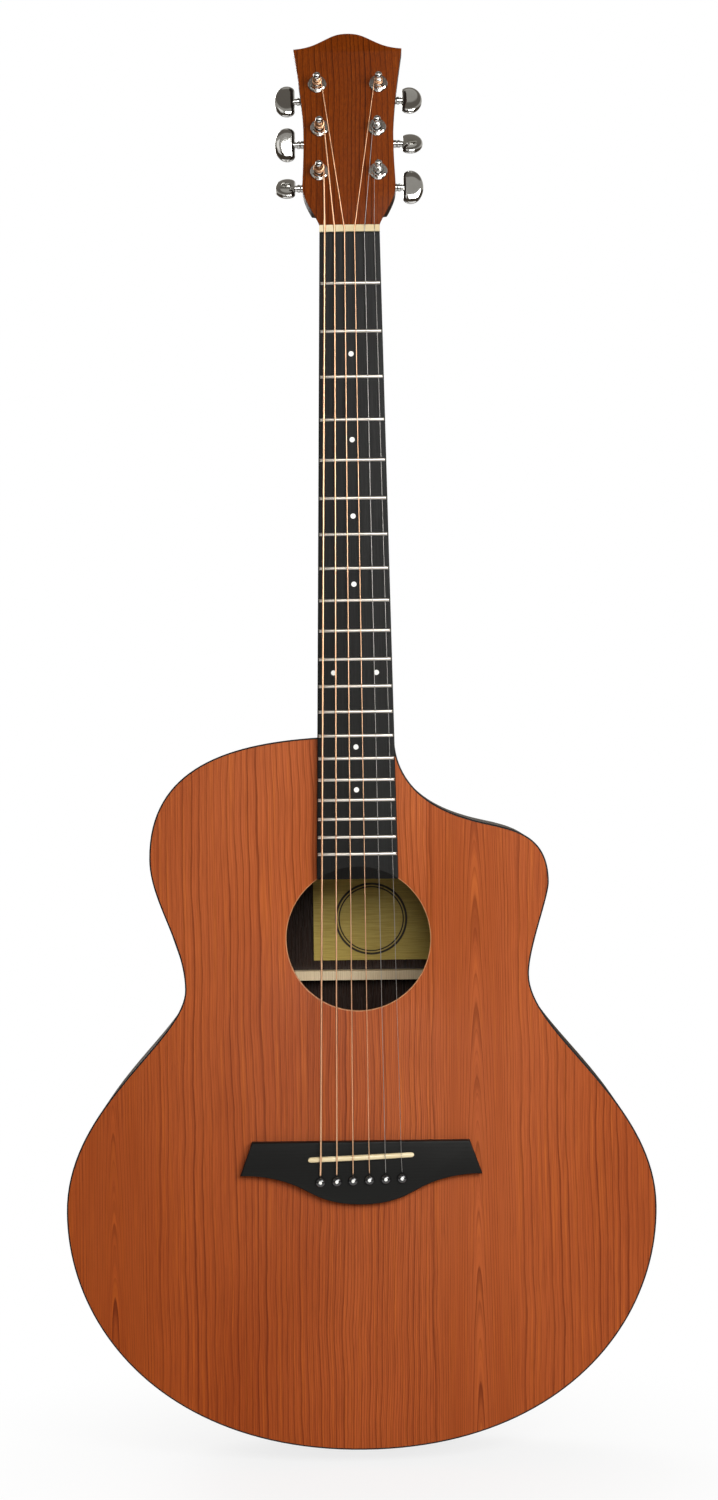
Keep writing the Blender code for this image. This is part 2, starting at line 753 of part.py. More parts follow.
def make_back_braces(inside):
    for number, place in enumerate(BACK_BRACE_PLACES):
        brace = add_object(
            f"back_brace_{number + 1}",
            on_back(
                LOWER_BOUT_HALF_WIDTH, 0, BODY_TOP + place, BACK_BRACE_WIDTH, 0, BACK_BRACE_HEIGHT, 9
            ),
            BRACE_WOOD,
        )
        combine(brace, inside, "INTERSECT")


def make_label():
    sheet = on_back(
        LABEL_WIDTH / 2,
        LABEL_OFFSET,
        BODY_TOP + LABEL_PLACE,
        LABEL_HEIGHT,
        0,
        LABEL_THICKNESS,
        4,
    )
    add_object("label", sheet, GOLD_PAPER)


# Neck, headstock and fingerboard
def neck_section(distance, half_width, depth, roundness, stations=12):
    """A D-shaped section of the neck, flat towards the strings."""
    ring = []
    for step in range(stations + 1):
        angle = math.pi * step / stations
        across = math.copysign(abs(math.cos(angle)) ** roundness, math.cos(angle))
        ring.append(below(half_width * across, distance, depth * math.sin(angle) ** roundness))
    ring[0].y = 0
    ring[-1].y = 0
    return ring


def heel_sections():
    """Sections where the neck deepens into the heel along a quarter circle."""
    start = BODY_TOP - HEEL_FOOT - HEEL_LENGTH
    rings = []
    for share in (0.0, 0.3, 0.55, 0.75, 0.9, 1.0):
        distance = start + HEEL_LENGTH * share
        swell = 1 - math.sqrt(1 - share * share)
        depth = NECK_DEPTH_AT_HEEL + (HEEL_DEPTH - NECK_DEPTH_AT_HEEL) * swell
        roundness = 1 + (HEEL_FULLNESS - 1) * swell
        rings.append(neck_section(distance, board_half_width(distance), depth, roundness))
    rings.append(neck_section(BODY_TOP, board_half_width(BODY_TOP), HEEL_DEPTH, HEEL_FULLNESS))
    return rings


def head_outline():
    """The headstock's outline as (x, distance up the headstock), from the nut round its crown."""
    flare = 0.010
    left = [
        (Vector((HEAD_FOOT_HALF_WIDTH, 0.0005, 0)), Vector((0.0, 0.004, 0)), 6),
        (Vector((HEAD_SHOULDER_HALF_WIDTH, HEAD_SHOULDER, 0)), Vector((0.0, flare, 0)), 5),
        (Vector((HEAD_WAIST_HALF_WIDTH, HEAD_WAIST, 0)), Vector((0.0, 0.022, 0)), 6),
    ]
    points = []
    for (start, out, steps), (end, into, _) in zip(left, left[1:]):
        points += interpolate_bezier(start, start + out, end - into, end, steps + 1)[:-1]
    start, out, steps = left[-1]
    corner = Vector((HEAD_CORNER_HALF_WIDTH, HEAD_CORNER, 0))
    points += interpolate_bezier(
        start, start + out, corner - Vector((0.0032, 0.022, 0)), corner, steps + 1
    )[:-1]
    inflection = Vector((CROWN_INFLECTION_HALF_WIDTH, CROWN_INFLECTION, 0))
    slope = Vector((-0.89, 0.455, 0))
    points += interpolate_bezier(
        corner, corner + Vector((-0.011, 0.0008, 0)), inflection - slope * 0.006, inflection, 6
    )[:-1]
    top = Vector((0, HEAD_LENGTH, 0))
    points += interpolate_bezier(
        inflection, inflection + slope * 0.006, top + Vector((0.0085, 0, 0)), top, 6
    )
    mirrored = [Vector((-p.x, p.y, 0)) for p in reversed(points[:-1])]
    return [(p.x, p.y) for p in points + mirrored]


def post_centre(index):
    """Side (-1 bass, 1 treble), x and distance up the headstock of the post of a string."""
    count = len(POST_PLACES)
    side = -1 if index < count else 1
    row = index if side < 0 else 2 * count - 1 - index
    return side, side * POST_HALF_SPACINGS[row], POST_PLACES[row]


def make_neck():
    """Neck shaft, heel and headstock as one piece, with the truss rod's channel, and its veneer."""
    shaft = [
        neck_section(fret_place(n), board_half_width(fret_place(n)), depth, 1)
        for n, depth in ((0, NECK_DEPTH_AT_NUT), (5, NECK_DEPTH_AT_NUT + 0.0012))
    ]
    at_nut = neck_section(-NUT_THICKNESS, board_half_width(0), NECK_DEPTH_AT_NUT, 1)
    tongue = []
    for point in neck_section(0, HEAD_FOOT_HALF_WIDTH - HEAD_TONGUE_INSET, 1, 0.6):
        n = -HEAD_TONGUE_INSET - point.y * (HEAD_THICKNESS - 2 * HEAD_TONGUE_INSET)
        tongue.append(HEAD_FRAME @ Vector((point.x, HEAD_TONGUE_LENGTH, n)))
    neck = add_object("neck", loft([tongue, at_nut, *shaft, *heel_sections()]), NECK_WOOD)
    outline = head_outline()
    rear = [Vector((x, max(up, HEAD_FOOT_SLOPE), -HEAD_THICKNESS)) for x, up in outline]
    head = loft([rear, [Vector((x, up, 0)) for x, up in outline]])
    combine(neck, add_object("headstock_form", head, frame=HEAD_FRAME), "UNION")
    veneer = loft([[Vector((x, up, n)) for x, up in outline] for n in (CUT_GAP, OVERLAY_FACE)])
    crown_start = (0, POST_PLACES[-1] + 2 * WASHER_RADIUS, 0)
    whole = [*veneer.verts, *veneer.edges, *veneer.faces]
    bmesh.ops.bisect_plane(veneer, geom=whole, plane_co=crown_start, plane_no=(0, 1, 0))
    overlay = add_object("headstock_overlay", veneer, HEAD_VENEER, HEAD_FRAME)
    holes = bmesh.new()
    for index in range(len(STRING_NAMES)):
        _, x, up = post_centre(index)
        rings = [
            circle((SLEEVE_RADIUS + CUT_GAP) / math.cos(math.pi / 14), 14, n, (x, up))
            for n in (-2 * HEAD_THICKNESS, 2 * OVERLAY_FACE)
        ]
        add_loft(holes, rings)
    sleeve_holes = add_object("sleeve_holes_cutter", holes, frame=HEAD_FRAME)
    half = TRUSS_ROD_RADIUS + CUT_GAP
    channel = add_object(
        "neck_channel_cutter",
        box(
            (-half, -BINDING_DEPTH, -BODY_TOP - HEEL_FOOT),
            (half, TRUSS_ROD_DEPTH + half, -TRUSS_ROD_START),
        ),
    )
    cut(neck, sleeve_holes, channel)
    cut(overlay, sleeve_holes)


def make_truss_rod():
    """The rod in the neck, with its nut past the neck block where a wrench reaches it."""
    block_end = BODY_SHELL_TOP + NECK_BLOCK_LENGTH
    nut_start = block_end + TRUSS_ROD_PAST_BLOCK
    profile = (
        (TRUSS_ROD_RADIUS, -TRUSS_ROD_START - CUT_GAP),
        (TRUSS_ROD_RADIUS, -nut_start),
        (TRUSS_NUT_RADIUS, -nut_start),
        (TRUSS_NUT_RADIUS, -nut_start - TRUSS_NUT_LENGTH),
    )
    rod = add_object("truss_rod", turned(profile, 12), STEEL)
    rod.location = (0, TRUSS_ROD_DEPTH, 0)


def board_section(distance, raised):
    """A section of the fingerboard with its cambered face; a fret's crown is raised over it."""
    half = board_half_width(distance)
    ring = [below(half, distance, 0), below(-half, distance, 0)]
    for share in (-1, -0.5, 0, 0.5, 1):
        x = half * share
        ring.append(below(x, distance, -board_crown(x) - raised))
    return ring


def make_fingerboard():
    rings = [board_section(0, 0)]
    for number in range(1, FRET_COUNT + 1):
        place = fret_place(number)
        rings.append(board_section(place - FRET_WIDTH / 2, 0))
        rings.append(board_section(place, FRET_HEIGHT))
        rings.append(board_section(place + FRET_WIDTH / 2, 0))
    rings.append(board_section(SOUNDHOLE - SOUNDHOLE_RADIUS * 0.8, 0))
    board = add_object("fingerboard", loft(rings), BLACK_WOOD)
    end = along_depth(SOUNDHOLE_RADIUS + BOARD_END_GAP, HOLE_SIDES, -2 * BOARD_THICKNESS, 0.002)
    end_cutter = add_object("board_end_cutter", end)
    end_cutter.location = below(0, SOUNDHOLE, 0)
    cut(board, end_cutter)


def make_nut():
    half = NUT_WIDTH / 2
    rings = []
    for share in (-1, -0.6, -0.2, 0.2, 0.6, 1):
        x = half * share
        height = board_crown(x) + FRET_HEIGHT + NUT_ABOVE_FRETS
        rings.append(
            [
                Vector((x, 0, 0)),
                Vector((x, -height, 0)),
                Vector((x, NUT_BACK_DROP - height, NUT_THICKNESS)),
                Vector((x, 0, NUT_THICKNESS)),
            ]
        )
    nut = add_object("nut", loft(rings), CREAM_BONE)
    slots = bmesh.new()
    for index in range(len(STRING_NAMES)):
        path = string_path_over_head(index)
        half_slot = STRING_GAUGES[index] / 2 + CUT_GAP
        bend = path[-1]
        away = (path[-2] - bend).normalized() * (3 * NUT_THICKNESS)
        stations = (bend + Vector((0, 0, -2 * NUT_THICKNESS)), bend, bend + away)
        rings = []
        for centre in stations:
            rings.append(
                [
                    centre + Vector((-half_slot, half_slot, 0)),
                    centre + Vector((half_slot, half_slot, 0)),
                    centre + Vector((half_slot, -4 * BOARD_THICKNESS, 0)),
                    centre + Vector((-half_slot, -4 * BOARD_THICKNESS, 0)),
                ]
            )
        add_loft(slots, rings)
    cut(nut, add_object("nut_slots_cutter", slots))


# Bridge
def bridge_outline():
    """The bridge's outline as (x, distance below the nut): straight top, belly below."""
    tip = Vector((-BRIDGE_TIP_HALF_WIDTH, SADDLE + BRIDGE_TIP_BELOW_SADDLE, 0))
    belly = Vector((0, SADDLE + BRIDGE_BELLY_BELOW_SADDLE, 0))
    middle = tip.lerp(belly, 0.5) + Vector((0.0028, 0, 0))
    slope = Vector((0.88, 0.475, 0))
    half = interpolate_bezier(
        tip, tip + Vector((0.022, 0, 0)), middle - slope * 0.011, middle, 7
    )[:-1]
    half += interpolate_bezier(
        middle, middle + slope * 0.011, belly - Vector((0.021, 0, 0)), belly, 7
    )
    points = [(p.x, p.y) for p in half]
    points += [(-p.x, p.y) for p in reversed(half[:-1])]
    top = SADDLE - BRIDGE_ABOVE_SADDLE
    return points + [(BRIDGE_TOP_HALF_WIDTH, top), (-BRIDGE_TOP_HALF_WIDTH, top)]


def saddle_bar(grow, front, rear, crest=None):
    """A bar along the saddle's line with rounded ends; crest gives its height at x."""
    half = SADDLE_LENGTH / 2
    rings = []
    for share, narrow in ((-1, 0.4), (-0.975, 0.85), (-0.94, 1), (-0.5, 1), (0, 1)):
        for side in (1, -1) if share else (1,):
            rings.append((share * side, narrow))
    rings.sort()
    made = []
    for share, narrow in rings:
        x = share * (half + grow)
        reach = SADDLE_THICKNESS / 2 * narrow + grow
        place = saddle_place(x)
        top = front if crest is None else -crest(x)
        drop = 0 if crest is None else SADDLE_CREST_DROP
        made.append(
            [
                below(x, place - reach, rear),
                below(x, place - reach, top + drop),
                below(x, place, top),
                below(x, place + reach, top + drop),
                below(x, place + reach, rear),
            ]
        )
    return loft(made)


def saddle_crest(x):
    """Height of the saddle under the strings at x."""
    index = (x / SADDLE_STRING_SPREAD + 0.5) * (len(STRING_NAMES) - 1)
    return string_underside_at_saddle(x, string_action(index)) - CUT_GAP


def pin_centre(index):
    x = string_spread(PIN_SPREAD, index)
    return x, saddle_place(x) + PINS_BELOW_SADDLE


def string_hole_offset(index):
    """How far towards the saddle a string goes down beside its pin."""
    return PIN_HEAD_RADIUS + JOINT_GAP + STRING_GAUGES[index] / 2


def make_pin_slots():
    """Cutters for the six pin holes, each with the slot that its string goes down."""
    sides = 10
    bm = bmesh.new()
    for index in range(len(STRING_NAMES)):
        x, place = pin_centre(index)
        radius = (PIN_SHANK_RADIUS + CUT_GAP) / math.cos(math.pi / sides)
        half = STRING_GAUGES[index] / 2 + CUT_GAP
        reach = string_hole_offset(index) + half
        mouth = math.asin(half / radius)
        start = -math.pi / 2 + mouth
        sweep = math.tau - 2 * mouth
        ring = []
        for step in range(sides + 1):
            angle = start + sweep * step / sides
            ring.append((x + radius * math.cos(angle), place + radius * math.sin(angle)))
        ring += [(x - half, place - reach), (x + half, place - reach)]
        add_loft(bm, [[below(a, b, depth) for a, b in ring] for depth in (-0.02, 0.02)])
    return add_object("pin_slots_cutter", bm)


def make_bridge(pin_slots):
    outline = bridge_outline()
    top = SADDLE - BRIDGE_ABOVE_SADDLE
    face = []
    for x, place in outline:
        towards = Vector((0, (top + SADDLE) / 2 + BRIDGE_ABOVE_SADDLE)) - Vector((x, place))
        moved = Vector((x, place)) + towards.normalized() * BRIDGE_CHAMFER
        face.append((moved.x, moved.y))
    rings = [
        [below(x, place, 0) for x, place in outline],
        [below(x, place, BRIDGE_CHAMFER - BRIDGE_THICKNESS) for x, place in outline],
        [below(x, place, -BRIDGE_THICKNESS) for x, place in face],
    ]
    bridge = add_object("bridge", loft(rings), BLACK_WOOD)
    slot = saddle_bar(CUT_GAP, -2 * BRIDGE_THICKNESS, -SADDLE_SLOT_FLOOR)
    cut(bridge, add_object("saddle_slot_cutter", slot), pin_slots)
    pickup_rear = -SADDLE_SLOT_FLOOR - CUT_GAP
    pickup_front = pickup_rear - PICKUP_THICKNESS
    saddle_rear = pickup_front - CUT_GAP
    add_object("saddle", saddle_bar(0, 0, saddle_rear, saddle_crest), CREAM_BONE)
    strip = []
    for x in (-PICKUP_LENGTH / 2, PICKUP_LENGTH / 2):
        place = saddle_place(x)
        strip.append(
            [
                below(x, place - PICKUP_WIDTH / 2, pickup_rear),
                below(x, place - PICKUP_WIDTH / 2, pickup_front),
                below(x, place + PICKUP_WIDTH / 2, pickup_front),
                below(x, place + PICKUP_WIDTH / 2, pickup_rear),
            ]
        )
    add_object("saddle_pickup", loft(strip), STEEL)


def make_pins():
    """Bridge pins: a domed head on a tapered shank, pointing into the body."""
    seat = BRIDGE_THICKNESS + CUT_GAP
    profile = (
        (PIN_TIP_RADIUS * 0.6, seat - PIN_LENGTH),
        (PIN_TIP_RADIUS, seat - PIN_LENGTH + 0.002),
        (PIN_SHANK_RADIUS, seat),
        (PIN_HEAD_RADIUS, seat),
        (PIN_HEAD_RADIUS, seat + PIN_HEAD_HEIGHT * 0.35),
        (PIN_HEAD_RADIUS * 0.75, seat + PIN_HEAD_HEIGHT * 0.82),
        (PIN_HEAD_RADIUS * 0.3, seat + PIN_HEAD_HEIGHT),
    )
    outwards = Matrix.Rotation(math.pi / 2, 4, "X")
    for index in range(len(STRING_NAMES)):
        x, place = pin_centre(index)
        frame = Matrix.Translation(below(x, place, 0)) @ outwards
        add_object(f"bridge_pin_{index + 1}", turned(profile, 10), BLACK_PLASTIC, frame)


def make_bridge_plate(pin_slots):
    """The plate under the bridge, which fills the space between the legs of the X brace."""
    crossing = x_brace_crossing()
    beside_leg = (BRACE_WIDTH / 2 + CUT_GAP) / math.cos(X_BRACE_HALF_ANGLE)
    corners = []
    for side, places in (
        (-1, (PIN_LINE + BRIDGE_PLATE_BELOW_PINS, PIN_LINE - BRIDGE_PLATE_ABOVE_PINS)),
        (1, (PIN_LINE - BRIDGE_PLATE_ABOVE_PINS, PIN_LINE + BRIDGE_PLATE_BELOW_PINS)),
    ):
        for place in places:
            half = (place - crossing.y) * math.tan(X_BRACE_HALF_ANGLE) - beside_leg
            corners.append(Vector((side * half, -place)))
    rear = SOUNDBOARD_THICKNESS + BRIDGE_PLATE_THICKNESS
    bridge_plate = add_object(
        "bridge_plate", plate(corners, SOUNDBOARD_THICKNESS, rear), BRACE_WOOD
    )
    cut(bridge_plate, pin_slots)


# Strings
def winding(index):
    """Points of a string's winding in the headstock's frame, from its cut end to where it leaves."""
    radius = STRING_GAUGES[index] / 2
    side, x, up = post_centre(index)
    coil = POST_NECK_RADIUS + CUT_GAP + radius
    coil /= math.cos(math.pi / WINDING_POINTS_PER_TURN)
    start = nut_bend(index)
    to_post = Vector((x - start.x, up - start.y))
    swing = -side * math.asin(coil / to_post.length)
    heading = math.atan2(to_post.y, to_post.x) - swing
    first = heading - side * -math.pi / 2
    bottom = BUSHING_TOP + 2 * CUT_GAP + radius
    pitch = 2 * radius + WINDING_GAP
    steps = int(WINDING_TURNS * WINDING_POINTS_PER_TURN)
    points = []
    for step in range(steps + 1):
        angle = first - side * math.tau * step / WINDING_POINTS_PER_TURN
        height = bottom + pitch * step / WINDING_POINTS_PER_TURN
        points.append(
            Vector((x + coil * math.cos(angle), up + coil * math.sin(angle), height))
        )
    leaving = (points[-1] - points[-2]).normalized()
    points.append(points[-1] + leaving * STRING_TAIL)
    return list(reversed(points))


def nut_bend(index):
    """Where a string's centre bends over the nut, in the headstock's frame."""
    x = string_spread(NUT_STRING_SPREAD, index)
    height = string_underside_at_nut(x) + STRING_GAUGES[index] / 2
    return HEAD_FRAME.inverted() @ Vector((x, -height, NUT_THICKNESS * 0.3))


def string_path_over_head(index):
    """The string's world points from its cut end on the post to its bend over the nut."""
    points = winding(index) + [nut_bend(index)]
    return [HEAD_FRAME @ point for point in points]


def least_gap(points, radius, turn_length):
    """Least distance between two stretches of a winding, less the tube's thickness."""
    fine = []
    for a, b in zip(points, points[1:]):
        count = max(1, int((b - a).length / radius))
        fine += [a.lerp(b, step / count) for step in range(count)]
    travelled = [0.0]
    for a, b in zip(fine, fine[1:]):
        travelled.append(travelled[-1] + (b - a).length)
    least = math.inf
    for i, a in enumerate(fine):
        for j in range(i + 1, len(fine)):
            if travelled[j] - travelled[i] > turn_length / 2:
                least = min(least, (fine[j] - a).length)
    return least - 2 * radius


def make_string(index):
    radius = STRING_GAUGES[index] / 2
    over_head = string_path_over_head(index)
    saddle_x = string_spread(SADDLE_STRING_SPREAD, index)
    crest = string_underside_at_saddle(saddle_x, string_action(index)) + radius
    pin_x, pin_place = pin_centre(index)
    down_place = pin_place - string_hole_offset(index)
    corner = below(pin_x, down_place, -BRIDGE_THICKNESS - 0.0008 - radius)
    ridge = below(saddle_x, saddle_place(saddle_x), -crest)
    back_up = (ridge - corner).normalized()
    plate_rear = SOUNDBOARD_THICKNESS + BRIDGE_PLATE_THICKNESS
    ball = BALL_END_RADIUS
    points = over_head + [
        ridge,
        corner + back_up * 0.0016,
        corner + (back_up + Vector((0, 1, 0))) * 0.0004,
        corner + Vector((0, 0.0016, 0)),
    ]
    factors = [1.0] * len(points)
    ball_profile = ((-1.15, None), (-0.9, 0.5), (-0.45, 0.9), (0, 1.0), (0.45, 0.9), (0.9, 0.45))
    centre = plate_rear + CUT_GAP + ball
    for offset, share in ball_profile:
        points.append(below(pin_x, down_place, centre + offset * ball))
        factors.append(1.0 if share is None else max(1.0, share * ball / radius))
    finish = BRONZE if index < WOUND_STRINGS else STEEL
    add_tube(STRING_NAMES[index], points, radius, factors, finish)
    coil_length = math.tau * (POST_NECK_RADIUS + CUT_GAP + radius)
    gap = least_gap(winding(index), radius, coil_length)
    print(f"{STRING_NAMES[index]} winding: least gap to itself {gap * 1000:.2f} mm")


def add_tube(name, points, radius, factors, finish):
    curve = bpy.data.curves.new(name, "CURVE")
    curve.dimensions = "3D"
    curve.bevel_depth = radius
    curve.bevel_resolution = 1
    curve.use_fill_caps = True
    spline = curve.splines.new("POLY")
    spline.points.add(len(points) - 1)
    for made, point, factor in zip(spline.points, points, factors):
        made.co = (*point, 1)
        made.radius = factor
    curve.materials.append(surface(name, finish))
    obj = bpy.data.objects.new(name, curve)
    bpy.context.scene.collection.objects.link(obj)


# Tuners
def make_housing(index):
    """A sealed machine head: housing behind the headstock, sleeve through it, bushing in front."""
    side, x, up = post_centre(index)
    frame = HEAD_FRAME @ Matrix.Translation((x, up, 0))
    back = -HEAD_THICKNESS - CUT_GAP
    rear = back - HOUSING_DEPTH
    worm_bore = WORM_TIP_RADIUS + CUT_GAP
    low = -GEAR_CENTRE_DISTANCE - worm_bore - HOUSING_WALL
    high = GEAR_TIP_RADIUS + HOUSING_WALL
    inner, outer = -side * HOUSING_INNER_REACH, side * HOUSING_OUTER_REACH
    case = box((min(inner, outer), low, rear), (max(inner, outer), high, back))
    edges = [edge for edge in case.edges if all(v.co.z < back - CUT_GAP for v in edge.verts)]
    bmesh.ops.bevel(case, geom=edges, offset=0.0012, segments=1, affect="EDGES")
    housing = add_object(f"tuner_housing_{index + 1}", case, CHROME, frame)
    washer = OVERLAY_FACE + CUT_GAP
    sleeve_profile = (
        (SLEEVE_RADIUS, back - HOUSING_TOP_WALL / 2),
        (SLEEVE_RADIUS, washer),
        (WASHER_RADIUS, washer),
        (WASHER_RADIUS, washer + WASHER_THICKNESS * 0.6),
        (BUSHING_RADIUS, washer + WASHER_THICKNESS),
        (BUSHING_RADIUS * 0.93, BUSHING_TOP),
    )
    sleeve = add_object(f"sleeve_form_{index + 1}", turned(sleeve_profile, 16), frame=frame)
    combine(housing, sleeve, "UNION")
    gear_bore = GEAR_TIP_RADIUS + CUT_GAP
    sides = 14
    grow = 1 / math.cos(math.pi / sides)
    floor = GEAR_TOP - GEAR_THICKNESS - CUT_GAP
    stub_floor = floor - POST_STUB_LENGTH
    bore_profile = (
        ((POST_STUB_RADIUS + CUT_GAP) * grow, stub_floor),
        ((POST_STUB_RADIUS + CUT_GAP) * grow, floor),
        (gear_bore * grow, floor),
        (gear_bore * grow, GEAR_TOP + CUT_GAP),
        ((POST_RADIUS + CUT_GAP) * grow, GEAR_TOP + CUT_GAP + 0.0001),
        ((POST_RADIUS + CUT_GAP) * grow, BUSHING_TOP + CUT_GAP),
    )
    post_bore = add_object(f"post_bore_{index + 1}", turned(bore_profile, sides), frame=frame)
    half_worm = WORM_TURNS * WORM_LEAD / 2 + CUT_GAP
    shaft_profile = [
        (worm_bore * grow, -half_worm),
        (worm_bore * grow, HOUSING_OUTER_REACH + HOUSING_WALL),
    ]
    shaft_bore = add_object(
        f"shaft_bore_{index + 1}", turned(shaft_profile, sides), frame=key_frame(index) @ TO_X
    )
    cut(housing, post_bore, shaft_bore)


TO_X = Matrix.Rotation(math.pi / 2, 4, "Y")


def key_frame(index):
    """On a key's axis: +X points out through the button, +Y up the headstock."""
    side, x, up = post_centre(index)
    turn = Matrix.Rotation(0 if side > 0 else math.pi, 4, "Y")
    return HEAD_FRAME @ Matrix.Translation((x, up - GEAR_CENTRE_DISTANCE, WORM_LEVEL)) @ turn


def gear_ring(height):
    """A gear outline with a tooth space facing the worm."""
    ring = []
    for step in range(2 * GEAR_TEETH):
        angle = -math.pi / 2 + math.pi * step / GEAR_TEETH
        radius = GEAR_TIP_RADIUS - (GEAR_TOOTH_HEIGHT if step % 2 == 0 else 0)
        ring.append(Vector((radius * math.cos(angle), radius * math.sin(angle), height)))
    return ring


def make_post(index):
    """A string post with its gear at the inner end and a ball top."""
    _, x, up = post_centre(index)
    frame = HEAD_FRAME @ Matrix.Translation((x, up, 0))
    top = OVERLAY_FACE + POST_HEIGHT
    waist_start = BUSHING_TOP + CUT_GAP
    ball = POST_BALL_RADIUS
    gear_bottom = GEAR_TOP - GEAR_THICKNESS
    profile = (
        (POST_STUB_RADIUS, gear_bottom - POST_STUB_LENGTH + CUT_GAP),
        (POST_STUB_RADIUS, gear_bottom),
        (POST_STUB_RADIUS * 1.3, GEAR_TOP - GEAR_THICKNESS / 2),
        (GEAR_TIP_RADIUS - GEAR_TOOTH_HEIGHT - 0.0001, GEAR_TOP + CUT_GAP / 2),
        (POST_RADIUS, GEAR_TOP + CUT_GAP + 0.0006),
        (POST_RADIUS, waist_start),
        (POST_NECK_RADIUS, waist_start + 0.0004),
        (POST_NECK_RADIUS, top - 1.55 * ball),
        (ball, top - 0.95 * ball),
        (ball * 0.88, top - 0.4 * ball),
        (ball * 0.45, top),
    )
    post = add_object(f"tuner_post_{index + 1}", turned(profile, 12), CHROME, frame)
    gear = loft([gear_ring(gear_bottom), gear_ring(GEAR_TOP)])
    combine(post, add_object(f"gear_form_{index + 1}", gear, frame=frame), "UNION")
    hole_level = Matrix.Translation((0, 0, top - 2.1 * ball))
    hole = turned(((STRING_HOLE_RADIUS, -2 * ball), (STRING_HOLE_RADIUS, 2 * ball)), 8)
    cut(post, add_object(f"string_hole_{index + 1}", hole, frame=frame @ hole_level @ TO_X))


def worm_rings():
    """Rings of a helical V thread round +X, its crest facing the gear at x = 0."""
    sides, per_turn = 8, 4
    rings = []
    for station in range(-WORM_TURNS * per_turn // 2, WORM_TURNS * per_turn // 2 + 1):
        x = WORM_LEAD * station / per_turn
        ring = []
        for step in range(sides):
            phase = (station / per_turn - step / sides) % 1
            fall = 2 * min(phase, 1 - phase)
            radius = WORM_TIP_RADIUS - WORM_TOOTH_HEIGHT * fall
            angle = math.tau * step / sides
            ring.append(Vector((x, radius * math.cos(angle), radius * math.sin(angle))))
        rings.append(ring)
    return rings


def button_outline(start):
    """A half-moon in the key's plane, straight towards the headstock, as (x, y)."""
    half = BUTTON_LENGTH / 2
    crown = BUTTON_WIDTH * BUTTON_CROWN
    points = []
    for degrees in (180, 135, 90, 60, 30, 0, -30, -60, -90, -135, -180):
        angle = math.radians(degrees)
        if abs(degrees) > 90:
            x = crown + crown * math.cos(angle)
            y = math.copysign(half * BUTTON_STRAIGHT, degrees)
            y += half * (1 - BUTTON_STRAIGHT) * math.sin(angle)
        else:
            x = crown + (BUTTON_WIDTH - crown) * math.cos(angle)
            y = half * math.sin(angle)
        points.append((start + x, y))
    return points


def make_key(index):
    """A tuning key: worm, shaft, collar and half-moon button turning as one."""
    side, x, _ = post_centre(index)
    frame = key_frame(index)
    worm = add_object(f"tuner_key_{index + 1}", loft(worm_rings()), CHROME, frame)
    button_start = BUTTON_FACE - abs(x)
    half_worm = WORM_TURNS * WORM_LEAD / 2
    outside = HOUSING_OUTER_REACH + CUT_GAP
    shaft_profile = (
        (WORM_ROOT_RADIUS * 0.7, half_worm - 0.0006),
        (KEY_SHAFT_RADIUS, half_worm + 0.0004),
        (KEY_SHAFT_RADIUS, outside),
        (KEY_COLLAR_RADIUS, outside),
        (KEY_COLLAR_RADIUS, button_start - KEY_NECK_LENGTH),
        (KEY_NECK_RADIUS, button_start - KEY_NECK_LENGTH),
        (KEY_NECK_RADIUS, button_start + 0.0020),
    )
    shaft = turned(shaft_profile, 8, math.pi / 8)
    combine(worm, add_object(f"shaft_form_{index + 1}", shaft, frame=frame @ TO_X), "UNION")
    outline = button_outline(button_start)
    half = BUTTON_THICKNESS / 2
    middle = button_start + BUTTON_WIDTH / 2
    rings = []
    for height, share in ((-half, 0.86), (-half * 0.55, 1), (half * 0.55, 1), (half, 0.86)):
        rings.append(
            [Vector((middle + (a - middle) * share, b * share, height)) for a, b in outline]
        )
    turn = Matrix.Rotation(math.radians(BUTTON_TURNS[index]), 4, "X")
    button = add_object(f"button_form_{index + 1}", loft(rings), frame=frame @ turn)
    combine(worm, button, "UNION")


# Preamp
def preamp_frame():
    """On the bass rib: +X away from the soundboard, +Y down the rib, +Z outwards."""
    anchors = body_anchors()
    start, end = anchors[1][0], anchors[2][0]
    curve = interpolate_bezier(start.point, start.after, end.before, end.point, 21)
    upper, lower = curve[4], curve[17]
    middle = upper.lerp(lower, 0.5)
    down = (lower - upper).normalized()
    along = Vector((down.x, 0, down.y))
    depth = Vector((0, 1, 0))
    outwards = depth.cross(along)
    turn = Matrix((depth, along, outwards)).transposed().to_4x4()
    return Matrix.Translation((middle.x, PREAMP_DEPTH_PLACE, middle.y)) @ turn


